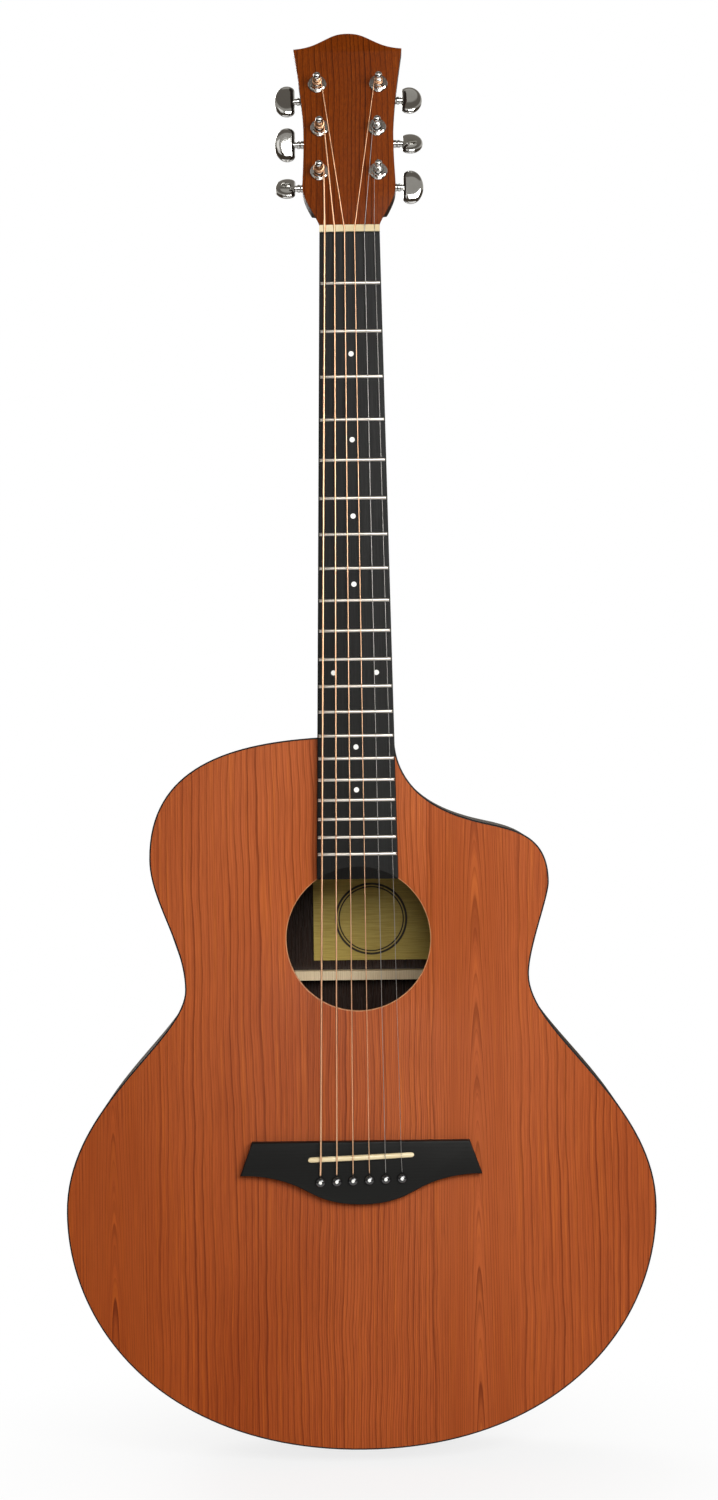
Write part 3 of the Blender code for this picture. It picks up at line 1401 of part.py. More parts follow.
def make_preamp(rib_bass):
    """Preamp case through the rib, its face plate outside, with knob bores and a battery bay."""
    frame = preamp_frame()
    box_half_width = PREAMP_HALF_WIDTH - PREAMP_RIM
    box_half_length = PREAMP_HALF_LENGTH - PREAMP_RIM
    face_plate = box(
        (-PREAMP_HALF_WIDTH, -PREAMP_HALF_LENGTH, -PREAMP_RIM),
        (PREAMP_HALF_WIDTH, PREAMP_HALF_LENGTH, PREAMP_FACE),
    )
    upright = [edge for edge in face_plate.edges if abs(edge.verts[0].co.z - edge.verts[1].co.z) > 0.001]
    bmesh.ops.bevel(face_plate, geom=upright, offset=0.004, segments=2, affect="EDGES", profile=0.5)
    housing = add_object("preamp_housing", face_plate, BLACK_PLASTIC, frame)
    body = add_object(
        "body_clearance_guide", plate(inset(OUTLINE, -CUT_GAP), -BINDING_DEPTH, 2 * DEPTH_AT_TAIL)
    )
    cut(housing, body)
    case = box(
        (-box_half_width, -box_half_length, -PREAMP_BOX_DEPTH),
        (box_half_width, box_half_length, PREAMP_FACE - 0.0008),
    )
    combine(housing, add_object("preamp_case_form", case, frame=frame), "UNION")
    opening = box(
        (-box_half_width - CUT_GAP, -box_half_length - CUT_GAP, -PREAMP_BOX_DEPTH),
        (box_half_width + CUT_GAP, box_half_length + CUT_GAP, PREAMP_BOX_DEPTH),
    )
    cut(rib_bass, add_object("preamp_opening_cutter", opening, frame=frame))
    door_half_length = BATTERY_LENGTH / 2 + BATTERY_CLEARANCE + DOOR_LIP
    door_half_width = BATTERY_HEIGHT / 2 + BATTERY_CLEARANCE + DOOR_LIP
    floor = PREAMP_FACE - DOOR_THICKNESS - 2 * CUT_GAP
    recess = box(
        (-BATTERY_OFFSET - door_half_width, -door_half_length, floor),
        (-BATTERY_OFFSET + door_half_width, door_half_length, 2 * PREAMP_FACE),
    )
    bay = box(
        (
            -BATTERY_OFFSET - BATTERY_HEIGHT / 2 - BATTERY_CLEARANCE,
            -BATTERY_LENGTH / 2 - BATTERY_CLEARANCE,
            floor - BATTERY_WIDTH,
        ),
        (
            -BATTERY_OFFSET + BATTERY_HEIGHT / 2 + BATTERY_CLEARANCE,
            BATTERY_LENGTH / 2 + BATTERY_CLEARANCE,
            2 * PREAMP_FACE,
        ),
    )
    bores = bmesh.new()
    bore = (KNOB_SHAFT_RADIUS + CUT_GAP) / math.cos(math.pi / 12)
    for place in knob_places():
        rings = [
            circle(bore, 12, height, (KNOB_OFFSET, place))
            for height in (PREAMP_FACE - KNOB_SHAFT_LENGTH - 2 * CUT_GAP, 2 * PREAMP_FACE)
        ]
        add_loft(bores, rings)
    cut(
        housing,
        add_object("door_recess_cutter", recess, frame=frame),
        add_object("battery_bay_cutter", bay, frame=frame),
        add_object("knob_bores_cutter", bores, frame=frame),
    )
    make_knobs(frame)
    make_door(frame, door_half_length, door_half_width)


def knob_places():
    middle = (len(KNOB_NAMES) - 1) / 2
    return [KNOB_SPACING * (number - middle) for number in range(len(KNOB_NAMES))]


def make_knobs(frame):
    profile = (
        (KNOB_SHAFT_RADIUS, -KNOB_SHAFT_LENGTH),
        (KNOB_SHAFT_RADIUS, CUT_GAP),
        (KNOB_RADIUS, CUT_GAP),
        (KNOB_RADIUS * 0.92, KNOB_HEIGHT - 0.0006),
        (KNOB_RADIUS * 0.80, KNOB_HEIGHT),
    )
    for name, place in zip(KNOB_NAMES, knob_places()):
        here = frame @ Matrix.Translation((KNOB_OFFSET, place, PREAMP_FACE))
        add_object(name, turned(profile, 12), BLACK_PLASTIC, here)


def make_door(frame, half_length, half_width):
    """The battery door, its origin on the hinge along its rear edge."""
    hinge_inset = DOOR_HINGE_RADIUS + CUT_GAP
    hinge = (-BATTERY_OFFSET + half_width - hinge_inset, 0, PREAMP_FACE - DOOR_THICKNESS / 2)
    here = frame @ Matrix.Translation(hinge)
    reach = 2 * half_width - hinge_inset - CUT_GAP
    length = half_length - CUT_GAP
    half = DOOR_THICKNESS / 2
    ring = [(-reach, -half), (-reach, half)]
    for step in range(7):
        angle = math.radians(115 - 230 * step / 6)
        ring.append((DOOR_HINGE_RADIUS * math.cos(angle), DOOR_HINGE_RADIUS * math.sin(angle)))
    rings = [[Vector((a, y, c)) for a, c in ring] for y in (-length, length)]
    add_object("battery_door", loft(rings), BLACK_PLASTIC, here)


# Output jack
def jack_frame():
    """At the tail: +Z points down, out of the body."""
    return Matrix.Translation(below(0, TAIL, JACK_DEPTH_PLACE)) @ Matrix.Rotation(math.pi, 4, "X")


def make_jack_hole():
    reach = TAIL_BLOCK_LENGTH * 2
    profile = ((JACK_BARREL_RADIUS + CUT_GAP, -reach), (JACK_BARREL_RADIUS + CUT_GAP, reach))
    return add_object("jack_hole_cutter", turned(profile, 20), frame=jack_frame())


def make_output_jack():
    profile = (
        (JACK_BARREL_RADIUS, -JACK_BARREL_LENGTH),
        (JACK_BARREL_RADIUS, CUT_GAP),
        (JACK_FLANGE_RADIUS, CUT_GAP),
        (JACK_FLANGE_RADIUS, CUT_GAP + 0.0014),
        (JACK_NECK_RADIUS, CUT_GAP + 0.0022),
        (JACK_NECK_RADIUS, JACK_REACH - 0.0034),
        (JACK_FLANGE_RADIUS, JACK_REACH - 0.0022),
        (JACK_FLANGE_RADIUS, JACK_REACH - 0.0006),
        (JACK_FLANGE_RADIUS - 0.0006, JACK_REACH),
    )
    jack = add_object("output_jack", turned(profile, 16), CHROME, jack_frame())
    bore = ((JACK_BORE_RADIUS, JACK_REACH - JACK_BORE_LENGTH), (JACK_BORE_RADIUS, JACK_REACH * 2))
    cut(jack, add_object("jack_bore_cutter", turned(bore, 16), frame=jack_frame()))


def main():
    clear_scene()
    pin_slots = make_pin_slots()
    jack_hole = make_jack_hole()
    make_soundboard(pin_slots)
    make_back()
    rod_passage = make_rod_passage()
    rib_bass = make_ribs(jack_hole, rod_passage)
    make_edges(rod_passage)
    make_blocks(jack_hole, rod_passage)
    inside = make_bracing()
    make_back_braces(inside)
    make_label()
    make_neck()
    make_truss_rod()
    make_fingerboard()
    make_nut()
    make_bridge(pin_slots)
    make_pins()
    make_bridge_plate(pin_slots)
    for index in range(len(STRING_NAMES)):
        make_string(index)
        make_housing(index)
        make_post(index)
        make_key(index)
    make_preamp(rib_bass)
    make_output_jack()


main()
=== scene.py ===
"""Looks of the acoustic-electric guitar: finer shapes, finishes, light and camera.

Metres, +Z up, strings towards -Y, treble side towards +X. The origin is where the nut meets the
fingerboard, in the plane of the soundboard's face.
"""

import json
import logging
import math
from collections.abc import Callable, Iterable, Sequence
from dataclasses import dataclass
from enum import Enum

import bmesh
import bpy
from mathutils import Matrix, Vector
from mathutils.geometry import interpolate_bezier

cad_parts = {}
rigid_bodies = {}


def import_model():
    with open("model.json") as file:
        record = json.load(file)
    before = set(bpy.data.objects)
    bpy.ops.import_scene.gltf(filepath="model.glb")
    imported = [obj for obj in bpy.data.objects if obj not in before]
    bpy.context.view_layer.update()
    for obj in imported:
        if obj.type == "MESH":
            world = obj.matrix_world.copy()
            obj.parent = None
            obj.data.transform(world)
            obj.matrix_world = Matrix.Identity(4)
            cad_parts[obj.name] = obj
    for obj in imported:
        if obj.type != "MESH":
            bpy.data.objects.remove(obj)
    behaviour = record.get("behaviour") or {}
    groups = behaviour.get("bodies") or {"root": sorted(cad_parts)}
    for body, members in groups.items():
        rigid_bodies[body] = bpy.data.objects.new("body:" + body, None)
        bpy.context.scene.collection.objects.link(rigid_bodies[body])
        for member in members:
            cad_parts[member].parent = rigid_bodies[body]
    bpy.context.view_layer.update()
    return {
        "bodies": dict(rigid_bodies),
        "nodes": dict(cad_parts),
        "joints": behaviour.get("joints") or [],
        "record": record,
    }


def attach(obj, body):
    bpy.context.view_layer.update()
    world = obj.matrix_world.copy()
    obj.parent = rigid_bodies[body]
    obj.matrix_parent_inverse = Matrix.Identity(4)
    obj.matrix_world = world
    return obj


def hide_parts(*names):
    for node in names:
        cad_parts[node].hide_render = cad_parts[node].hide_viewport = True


LOG = logging.getLogger("guitar")
ROOT_BODY = "guitar"
STRING_NAMES = ("low_e", "a", "d", "g", "b", "high_e")
TO_X = Matrix.Rotation(math.pi / 2, 4, "Y")
FACING = Matrix.Rotation(math.pi / 2, 4, "X")
# Degrees that each key's button is turned at rest, low E first
BUTTON_TURNS = (38, -10, 5, -20, -38, 5)
# Slack with which vertices and edges are picked by where they lie
HAIR = 0.0001
Socket = bpy.types.NodeSocket
Colour = tuple[float, float, float, float]
Place = tuple[float, float, float]
Pair = tuple[float, float]
Edge = bmesh.types.BMEdge


# Sizes that several sub-assemblies share
@dataclass(frozen=True)
class GuitarPlan:
    """Sizes of scale, board, body and headstock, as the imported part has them."""

    scale_length: float = 0.650
    fret_count: int = 20
    body_joint_fret: int = 14
    compensation_bass: float = 0.0070
    compensation_treble: float = 0.0040
    saddle_set_back: float = 0.0070
    nut_spread: float = 0.0355
    saddle_spread: float = 0.0576
    nut_action: float = 0.0007
    action_bass: float = 0.0026
    action_treble: float = 0.0022
    gauges: tuple[float, ...] = (0.00135, 0.00107, 0.00081, 0.00061, 0.00041, 0.00030)
    wound_strings: int = 4
    nut_width: float = 0.0432
    nut_thickness: float = 0.005
    board_width_at_joint: float = 0.0552
    board_thickness: float = 0.0063
    board_radius: float = 0.400
    fret_height: float = 0.0011
    saddle_length: float = 0.0757
    pins_below_saddle: float = 0.0165
    pin_spread: float = 0.0585
    body_length: float = 0.5138
    depth_at_neck: float = 0.088
    depth_at_tail: float = 0.104
    back_dome_radius: float = 6.0
    soundboard_thickness: float = 0.003
    soundhole_place: float = 0.1459
    soundhole_radius: float = 0.0517
    cut_gap: float = 0.0003
    joint_gap: float = 0.0004
    head_tilt: float = math.radians(13)
    head_thickness: float = 0.013
    overlay_face: float = 0.0015
    post_places: tuple[float, ...] = (0.0415, 0.0755, 0.1095)
    post_half_spacings: tuple[float, ...] = (0.0212, 0.0207, 0.0222)

    @property
    def body_top(self) -> float:
        """Distance of the neck joint below the nut."""
        return self.fret_place(self.body_joint_fret)

    @property
    def tail(self) -> float:
        """Distance of the body's tail below the nut."""
        return self.body_top + self.body_length

    @property
    def soundhole(self) -> float:
        """Distance of the soundhole's centre below the nut."""
        return self.body_top + self.soundhole_place

    @property
    def saddle(self) -> float:
        """Distance of the saddle's middle below the nut."""
        compensation = (self.compensation_bass + self.compensation_treble) / 2
        return self.scale_length + self.saddle_set_back + compensation

    @property
    def head_frame(self) -> Matrix:
        """The headstock's frame: +Y up the headstock, +Z out of its face."""
        turn = Matrix.Rotation(math.pi / 2 - self.head_tilt, 4, "X")
        return Matrix.Translation((0, 0, self.nut_thickness)) @ turn

    def fret_place(self, number: float) -> float:
        """Distance of a fret below the nut."""
        return self.scale_length * (1 - 2 ** (-number / 12))

    def board_half_width(self, distance: float) -> float:
        """Half the fingerboard's width at a distance below the nut."""
        widening = (self.board_width_at_joint - self.nut_width) * distance / self.body_top
        return (self.nut_width + widening) / 2

    def board_crown(self, x: float) -> float:
        """Height of the fingerboard's cambered face at x."""
        return self.board_thickness - x * x / (2 * self.board_radius)

    def spread(self, width: float, index: int) -> float:
        """Place of one string in a row of the given width, from the bass side."""
        return width * (index / (len(STRING_NAMES) - 1) - 0.5)

    def action(self, index: float) -> float:
        """Height of a string over the twelfth fret."""
        change = (self.action_treble - self.action_bass) / (len(STRING_NAMES) - 1)
        return self.action_bass + change * index

    def underside_at_nut(self, x: float) -> float:
        """Height of the strings' undersides over the nut at x."""
        return self.board_crown(x) + self.fret_height + self.nut_action

    def underside_at_saddle(self, x: float, action: float) -> float:
        """Height of a string's underside over the saddle at x for its action."""
        return self.board_crown(x) + self.fret_height + 2 * action - self.nut_action

    def saddle_place(self, x: float) -> float:
        """Distance of the saddle's crest below the nut at x."""
        slope = (self.compensation_bass - self.compensation_treble) / self.saddle_length
        return self.saddle - slope * x

    def pin_centre(self, index: int) -> Pair:
        """x and distance below the nut of a bridge pin."""
        x = self.spread(self.pin_spread, index)
        return x, self.saddle_place(x) + self.pins_below_saddle

    def post_centre(self, index: int) -> tuple[int, float, float]:
        """Where a string's post stands.

        Args:
            index: The string's number from the bass side.

        Returns:
            -1 or 1 for its side, x, and the distance up the headstock.
        """
        count = len(self.post_places)
        side = -1 if index < count else 1
        row = index if side < 0 else 2 * count - 1 - index
        return side, side * self.post_half_spacings[row], self.post_places[row]

    def back_depth(self, x: float, distance: float) -> float:
        """Depth of the back's inner face behind the soundboard's face.

        Args:
            x: Place across the body.
            distance: Place below the nut.

        Returns:
            The depth of the shallow dome on its wedge from neck to tail.
        """
        along = (distance - self.body_top) / self.body_length
        wedge = self.depth_at_neck + (self.depth_at_tail - self.depth_at_neck) * along
        from_middle = distance - self.body_top - self.body_length / 2
        rise = (self.body_length / 2) ** 2 - from_middle**2 - x * x
        return wedge + rise / (2 * self.back_dome_radius)


def below(x: float, distance: float, depth: float) -> Vector:
    """The point at x, a distance below the nut, a depth behind the soundboard's face."""
    return Vector((x, depth, -distance))


def about_axis(radius: float, angle: float, height: float) -> Vector:
    """The point at a radius and an angle about Z, at a height."""
    return Vector((radius * math.cos(angle), radius * math.sin(angle), height))


def from_screen(red: int, green: int, blue: int) -> Colour:
    """Turns a colour as seen on a screen into the linear colour that a shader takes.

    Args:
        red: Red from 0 to 255.
        green: Green from 0 to 255.
        blue: Blue from 0 to 255.

    Returns:
        Linear red, green and blue, and a full alpha.
    """

    def linear(level: int) -> float:
        """One channel by the screen's own curve, straight in the darkest tones."""
        return level / 255 / 12.92 if level <= 10 else ((level / 255 + 0.055) / 1.055) ** 2.4

    return (linear(red), linear(green), linear(blue), 1.0)


def tones(**seen: Sequence[int]) -> dict[str, object]:
    """Several colours as seen on a screen, each under its own name."""
    return {name: from_screen(*levels) for name, levels in seen.items()}


# Shader nodes
class NodeSheet:
    """Places nodes in a material or a node group and wires each one as it is made."""

    def __init__(self, tree: bpy.types.NodeTree) -> None:
        """Takes the tree that gets the nodes."""
        self.tree = tree

    def add(self, kind: str, inputs: dict | None = None, **settings: object) -> bpy.types.Node:
        """Adds one node.

        Args:
            kind: The node's type.
            inputs: Values or sockets for its inputs, by name or number.
            **settings: Attributes set on the node first.

        Returns:
            The new node.
        """
        node = self.tree.nodes.new(kind)
        for name, value in settings.items():
            setattr(node, name, value)
        for key, value in (inputs or {}).items():
            self.feed(node.inputs[key], value)
        return node

    def feed(self, socket: Socket, value: object) -> None:
        """Wires an input to another socket, or sets it to a plain value.

        Args:
            socket: The input.
            value: What it takes.
        """
        if isinstance(value, Socket):
            self.tree.links.new(value, socket)
        else:
            socket.default_value = value

    def split(self, vector: object) -> Sequence[Socket]:
        """The X, Y and Z of a vector."""
        return self.add("ShaderNodeSeparateXYZ", {0: vector}).outputs

    def product(self, a: object, b: object) -> Socket:
        """Two values multiplied."""
        return self.math("MULTIPLY", a, b)

    def total(self, a: object, b: object) -> Socket:
        """Two values added."""
        return self.math("ADD", a, b)

    def off(self, value: object, middle: float) -> Socket:
        """How far a value is from a middle, either way."""
        return self.math("ABSOLUTE", self.math("SUBTRACT", value, middle))

    def math(self, operation: str, a: object, b: object = 0.0) -> Socket:
        """The result of one sum on two values or sockets."""
        return self.add("ShaderNodeMath", {0: a, 1: b}, operation=operation).outputs[0]

    def mix(self, factor: object, a: object, b: object, blend: str = "MIX") -> Socket:
        """Two colours mixed by a factor.

        Args:
            factor: Share of the second.
            a: The first.
            b: The second.
            blend: How it goes over.

        Returns:
            The mixed colour.
        """
        node = self.add("ShaderNodeMix", data_type="RGBA", blend_type=blend)
        for number, value in ((0, factor), (6, a), (7, b)):
            self.feed(node.inputs[number], value)
        return node.outputs[2]

    def span(
        self, value: object, low: float, high: float, to_low: float = 0.0, to_high: float = 1.0
    ) -> Socket:
        """A value's range stretched smoothly to another range."""
        inputs = {0: value, 1: low, 2: high, 3: to_low, 4: to_high}
        return self.add("ShaderNodeMapRange", inputs, interpolation_type="SMOOTHSTEP").outputs[0]

    def noise(self, vector: object, scale: float, detail: float = 2.0, rough: float = 0.5) -> Socket:
        """Cloudy noise over a position."""
        inputs = {"Vector": vector, "Scale": scale, "Detail": detail, "Roughness": rough}
        return self.add("ShaderNodeTexNoise", inputs).outputs[0]

    def noise_across(self, place: object, scale: float, detail: float = 1.0) -> Socket:
        """Noise along one direction only, so that it draws lines."""
        inputs = {"W": place, "Scale": scale, "Detail": detail, "Roughness": 0.6}
        return self.add("ShaderNodeTexNoise", inputs, noise_dimensions="1D").outputs[0]

    def stretch(self, vector: object, scale: Place, turn: Place = (0, 0, 0)) -> Socket:
        """A position turned and scaled."""
        inputs = {"Vector": vector, "Rotation": turn, "Scale": scale}
        return self.add("ShaderNodeMapping", inputs).outputs[0]

    def sway(self, vector: object, scale: Place, reach: object, detail: float = 1.0) -> Socket:
        """Noise over a stretched position, swinging either way by half of a reach."""
        cloud = self.noise(self.stretch(vector, scale), 1.0, detail)
        return self.product(self.math("SUBTRACT", cloud, 0.5), reach)


def node_group(name: str, ins: dict[str, str], outs: dict[str, str], build: Callable) -> bpy.types.NodeTree:
    """Builds a shader node group once.

    Args:
        name: The group's name.
        ins: Socket kinds of its inputs, by name.
        outs: Socket kinds of its outputs, by name.
        build: Fills the group from its sheet and input node, and gives the outputs by name.

    Returns:
        The group, made at the first call and found again later.
    """
    found = bpy.data.node_groups.get(name)
    if found is not None:
        return found
    tree = bpy.data.node_groups.new(name, "ShaderNodeTree")
    for key, kind in ins.items():
        tree.interface.new_socket(key, in_out="INPUT", socket_type=kind)
    for key, kind in outs.items():
        tree.interface.new_socket(key, in_out="OUTPUT", socket_type=kind)
    sheet = NodeSheet(tree)
    made = build(sheet, sheet.add("NodeGroupInput"))
    sheet.add("NodeGroupOutput", made)
    return tree


@dataclass(frozen=True)
class FiguredWood:
    """The pattern of plain-sawn wood: lines and cathedral figure along Z, fibres and clouds.

    A stretch is how many times the noise varies in a metre along X, Y and Z.
    """

    drift: Place = (7, 7, 2.2)
    wander: Place = (24, 24, 13)
    wander_reach: float = 0.0060
    ripple: Place = (220, 220, 60)
    ripple_reach: float = 0.0010
    uneven_scale: float = 30.0
    uneven_rings: float = 3.2
    ring_start: float = 0.30
    ring_end: float = 0.93
    ring_power: float = 5.0
    fine_per_ring: float = 3.0
    breaks: Place = (60, 60, 6)
    break_least: float = 0.6
    weight_scale: float = 0.37
    weight_least: float = 0.4
    fibre: Place = (1400, 1400, 28)
    cloud: Place = (11, 11, 3.2)
    streak: Place = (420, 420, 9)

    def ring_edge(self, sheet: NodeSheet, rings: Socket) -> Socket:
        """A growth ring's shade: it deepens slowly across the ring and ends at once.

        Args:
            sheet: Gets the nodes.
            rings: Number of the ring at a place, with its fraction.

        Returns:
            The shade from 0 to 1.
        """
        share = sheet.math("FRACT", rings)
        rise = sheet.math("POWER", sheet.span(share, self.ring_start, self.ring_end), self.ring_power)
        return sheet.product(rise, sheet.span(share, self.ring_end, 1.0, 1.0, 0.0))

    def fill(self, sheet: NodeSheet, given: bpy.types.Node) -> dict[str, Socket]:
        """Fills the group.

        Args:
            sheet: Gets the nodes.
            given: The group's input node.

        Returns:
            Its masks by name.
        """
        vector = given.outputs["Vector"]
        seeded = sheet.add("ShaderNodeVectorMath", {0: vector, 1: given.outputs["Seed"]}).outputs[0]
        shift = sheet.sway(seeded, self.drift, given.outputs["Warp"])
        sway = sheet.sway(seeded, self.wander, self.wander_reach)
        ripple = sheet.sway(seeded, self.ripple, self.ripple_reach, 2.0)
        place = sheet.total(sheet.total(sheet.split(vector)[0], shift), sheet.total(sway, ripple))
        uneven = sheet.product(sheet.noise_across(place, self.uneven_scale), self.uneven_rings)
        rings = sheet.total(sheet.product(place, given.outputs["Line Scale"]), uneven)
        each_ring = sheet.noise_across(sheet.math("FLOOR", rings), self.weight_scale, 0.0)
        weight = sheet.span(each_ring, 0.25, 0.75, self.weight_least, 1.0)
        masks = {
            name: sheet.noise(sheet.stretch(seeded, scale), 1.0, 2.0)
            for name, scale in (("Fibre", self.fibre), ("Cloud", self.cloud), ("Streak", self.streak))
        }
        broken = sheet.noise(sheet.stretch(seeded, self.breaks), 1.0, 2.0)
        whole = sheet.span(broken, 0.25, 0.6, self.break_least, 1.0)
        masks["Lines"] = sheet.product(sheet.product(self.ring_edge(sheet, rings), whole), weight)
        masks["Fine Lines"] = self.ring_edge(sheet, sheet.product(rings, self.fine_per_ring))
        return masks

    def group(self) -> bpy.types.NodeTree:
        """Makes or finds the node group.

        Returns:
            The group, with a mask at each output.
        """
        ins = dict.fromkeys(("Vector", "Seed"), "NodeSocketVector")
        ins |= dict.fromkeys(("Line Scale", "Warp"), "NodeSocketFloat")
        outs = dict.fromkeys(("Lines", "Fine Lines", "Fibre", "Cloud", "Streak"), "NodeSocketFloat")
        return node_group("figured_wood", ins, outs, self.fill)


@dataclass(frozen=True)
class HandlingMarks:
    """Finger marks and fine scratches on hard, shiny surfaces."""

    smear_scale: float = 95.0
    scratch: Place = (2600, 240, 900)
    scratch_turn: Place = (0.3, 0.7, 0.2)
    scratch_share: float = 0.5

    def fill(self, sheet: NodeSheet, given: bpy.types.Node) -> dict[str, Socket]:
        """Fills the group.

        Args:
            sheet: Gets the nodes.
            given: The group's input node.

        Returns:
            Its roughness and height by name.
        """
        vector = given.outputs["Vector"]
        smears = sheet.span(sheet.noise(vector, self.smear_scale, 4.0, 0.6), 0.42, 0.72)
        scratch = sheet.noise(sheet.stretch(vector, self.scratch, self.scratch_turn), 1.0, 2.0)
        both = sheet.total(smears, sheet.product(scratch, self.scratch_share))
        change = sheet.product(both, given.outputs["Amount"])
        return {"Roughness": sheet.total(given.outputs["Base"], change), "Height": scratch}

    def group(self) -> bpy.types.NodeTree:
        """Makes or finds the node group.

        Returns:
            The group, with Roughness and Height.
        """
        ins = {"Vector": "NodeSocketVector", "Base": "NodeSocketFloat", "Amount": "NodeSocketFloat"}
        outs = dict.fromkeys(("Roughness", "Height"), "NodeSocketFloat")
        return node_group("handling_marks", ins, outs, self.fill)


class GrainRun(Enum):
    """Which way the grain of a wooden piece runs; its value turns that direction to Z."""

    UPRIGHT = (0.0, 0.0, 0.0)
    ACROSS = (0.0, math.pi / 2, 0.0)


# Finishes
@dataclass(frozen=True)
class Finish:
    """What every finish has: a name for its material and the parts of its gloss."""

    name: str
    roughness: float = 0.4
    coat: float = 0.0
    coat_roughness: float = 0.1
    gleam: float = 0.5

    def start(self) -> tuple[bpy.types.Material, NodeSheet, bpy.types.Node, Socket]:
        """Begins a material.

        Returns:
            The material, its sheet, its shader and the position on the piece.
        """
        material = bpy.data.materials.new(self.name)
        material.use_nodes = True
        sheet = NodeSheet(material.node_tree)
        shader = material.node_tree.nodes["Principled BSDF"]
        shader.inputs["Roughness"].default_value = self.roughness
        shader.inputs["Coat Weight"].default_value = self.coat
        shader.inputs["Coat Roughness"].default_value = self.coat_roughness
        shader.inputs["Specular IOR Level"].default_value = self.gleam
        position = sheet.add("ShaderNodeTexCoord").outputs["Object"]
        return material, sheet, shader, position

    @staticmethod
    def raise_surface(
        sheet: NodeSheet, shader: bpy.types.Node, height: object, strength: float, depth: float
    ) -> None:
        """Feeds a height through a bump node into a shader's normal."""
        bump = sheet.add("ShaderNodeBump", {"Height": height, "Strength": strength, "Distance": depth})
        sheet.feed(shader.inputs["Normal"], bump.outputs[0])


@dataclass(frozen=True)
class WoodFinish(Finish):
    """Stained and lacquered, oiled or bare wood."""

    light: Colour = (0.4, 0.2, 0.1, 1.0)
    dark: Colour = (0.2, 0.1, 0.05, 1.0)
    line: Colour = (0.1, 0.04, 0.02, 1.0)
    line_scale: float = 170.0
    warp: float = 0.05
    line_strength: float = 0.7
    fine_strength: float = 0.35
    fibre_strength: float = 0.3
    streak: Colour = (0.7, 0.35, 0.15, 1.0)
    streak_strength: float = 0.0
    seed: Place = (0.0, 0.0, 0.0)
    run: GrainRun = GrainRun.UPRIGHT
    relief: float = 0.25
    relief_depth: float = 0.0002

    def tint_and_painted_shade(self, sheet: NodeSheet, position: Socket, colour: Socket) -> Socket:
        """The wood's colour as it is; finishes with their own darkening or painted shade change it here."""
        return colour

    def bend(self, sheet: NodeSheet, position: Socket) -> Socket:
        """The position that the rings are laid out on."""
        return position

    def fineness(self, sheet: NodeSheet, position: Socket) -> object:
        """How strongly the fine rings show."""
        return self.fine_strength

    def seeded(self, sheet: NodeSheet, position: Socket) -> object:
        """The offset that the pattern starts from."""
        return self.seed

    def material(self) -> bpy.types.Material:
        """Builds the material.

        Returns:
            Wood with lines, fine lines, fibres and clouds in colour, gloss and relief.
        """
        material, sheet, shader, position = self.start()
        inputs = {
            "Vector": self.bend(sheet, sheet.stretch(position, (1, 1, 1), self.run.value)),
            "Seed": self.seeded(sheet, position),
            "Line Scale": self.line_scale,
            "Warp": self.warp,
        }
        masks = sheet.add("ShaderNodeGroup", node_tree=FiguredWood().group())
        for name, value in inputs.items():
            sheet.feed(masks.inputs[name], value)
        shares = (
            (sheet.span(masks.outputs["Streak"], 0.48, 0.72, 0.0, self.streak_strength), self.streak),
            (sheet.product(masks.outputs["Fine Lines"], self.fineness(sheet, position)), self.line),
            (sheet.product(masks.outputs["Lines"], self.line_strength), self.line),
            (sheet.span(masks.outputs["Fibre"], 0.35, 0.75, 0.0, self.fibre_strength), self.line),
        )
        colour = sheet.mix(sheet.span(masks.outputs["Cloud"], 0.3, 0.7), self.light, self.dark)
        for share, shade in shares:
            colour = sheet.mix(share, colour, shade)
        sheet.feed(shader.inputs["Base Color"], self.tint_and_painted_shade(sheet, position, colour))
        fibre = masks.outputs["Fibre"]
        gloss = sheet.span(fibre, 0.2, 0.8, self.roughness - 0.05, self.roughness + 0.08)
        sheet.feed(shader.inputs["Roughness"], gloss)
        self.raise_surface(sheet, shader, fibre, self.relief, self.relief_depth)
        return material


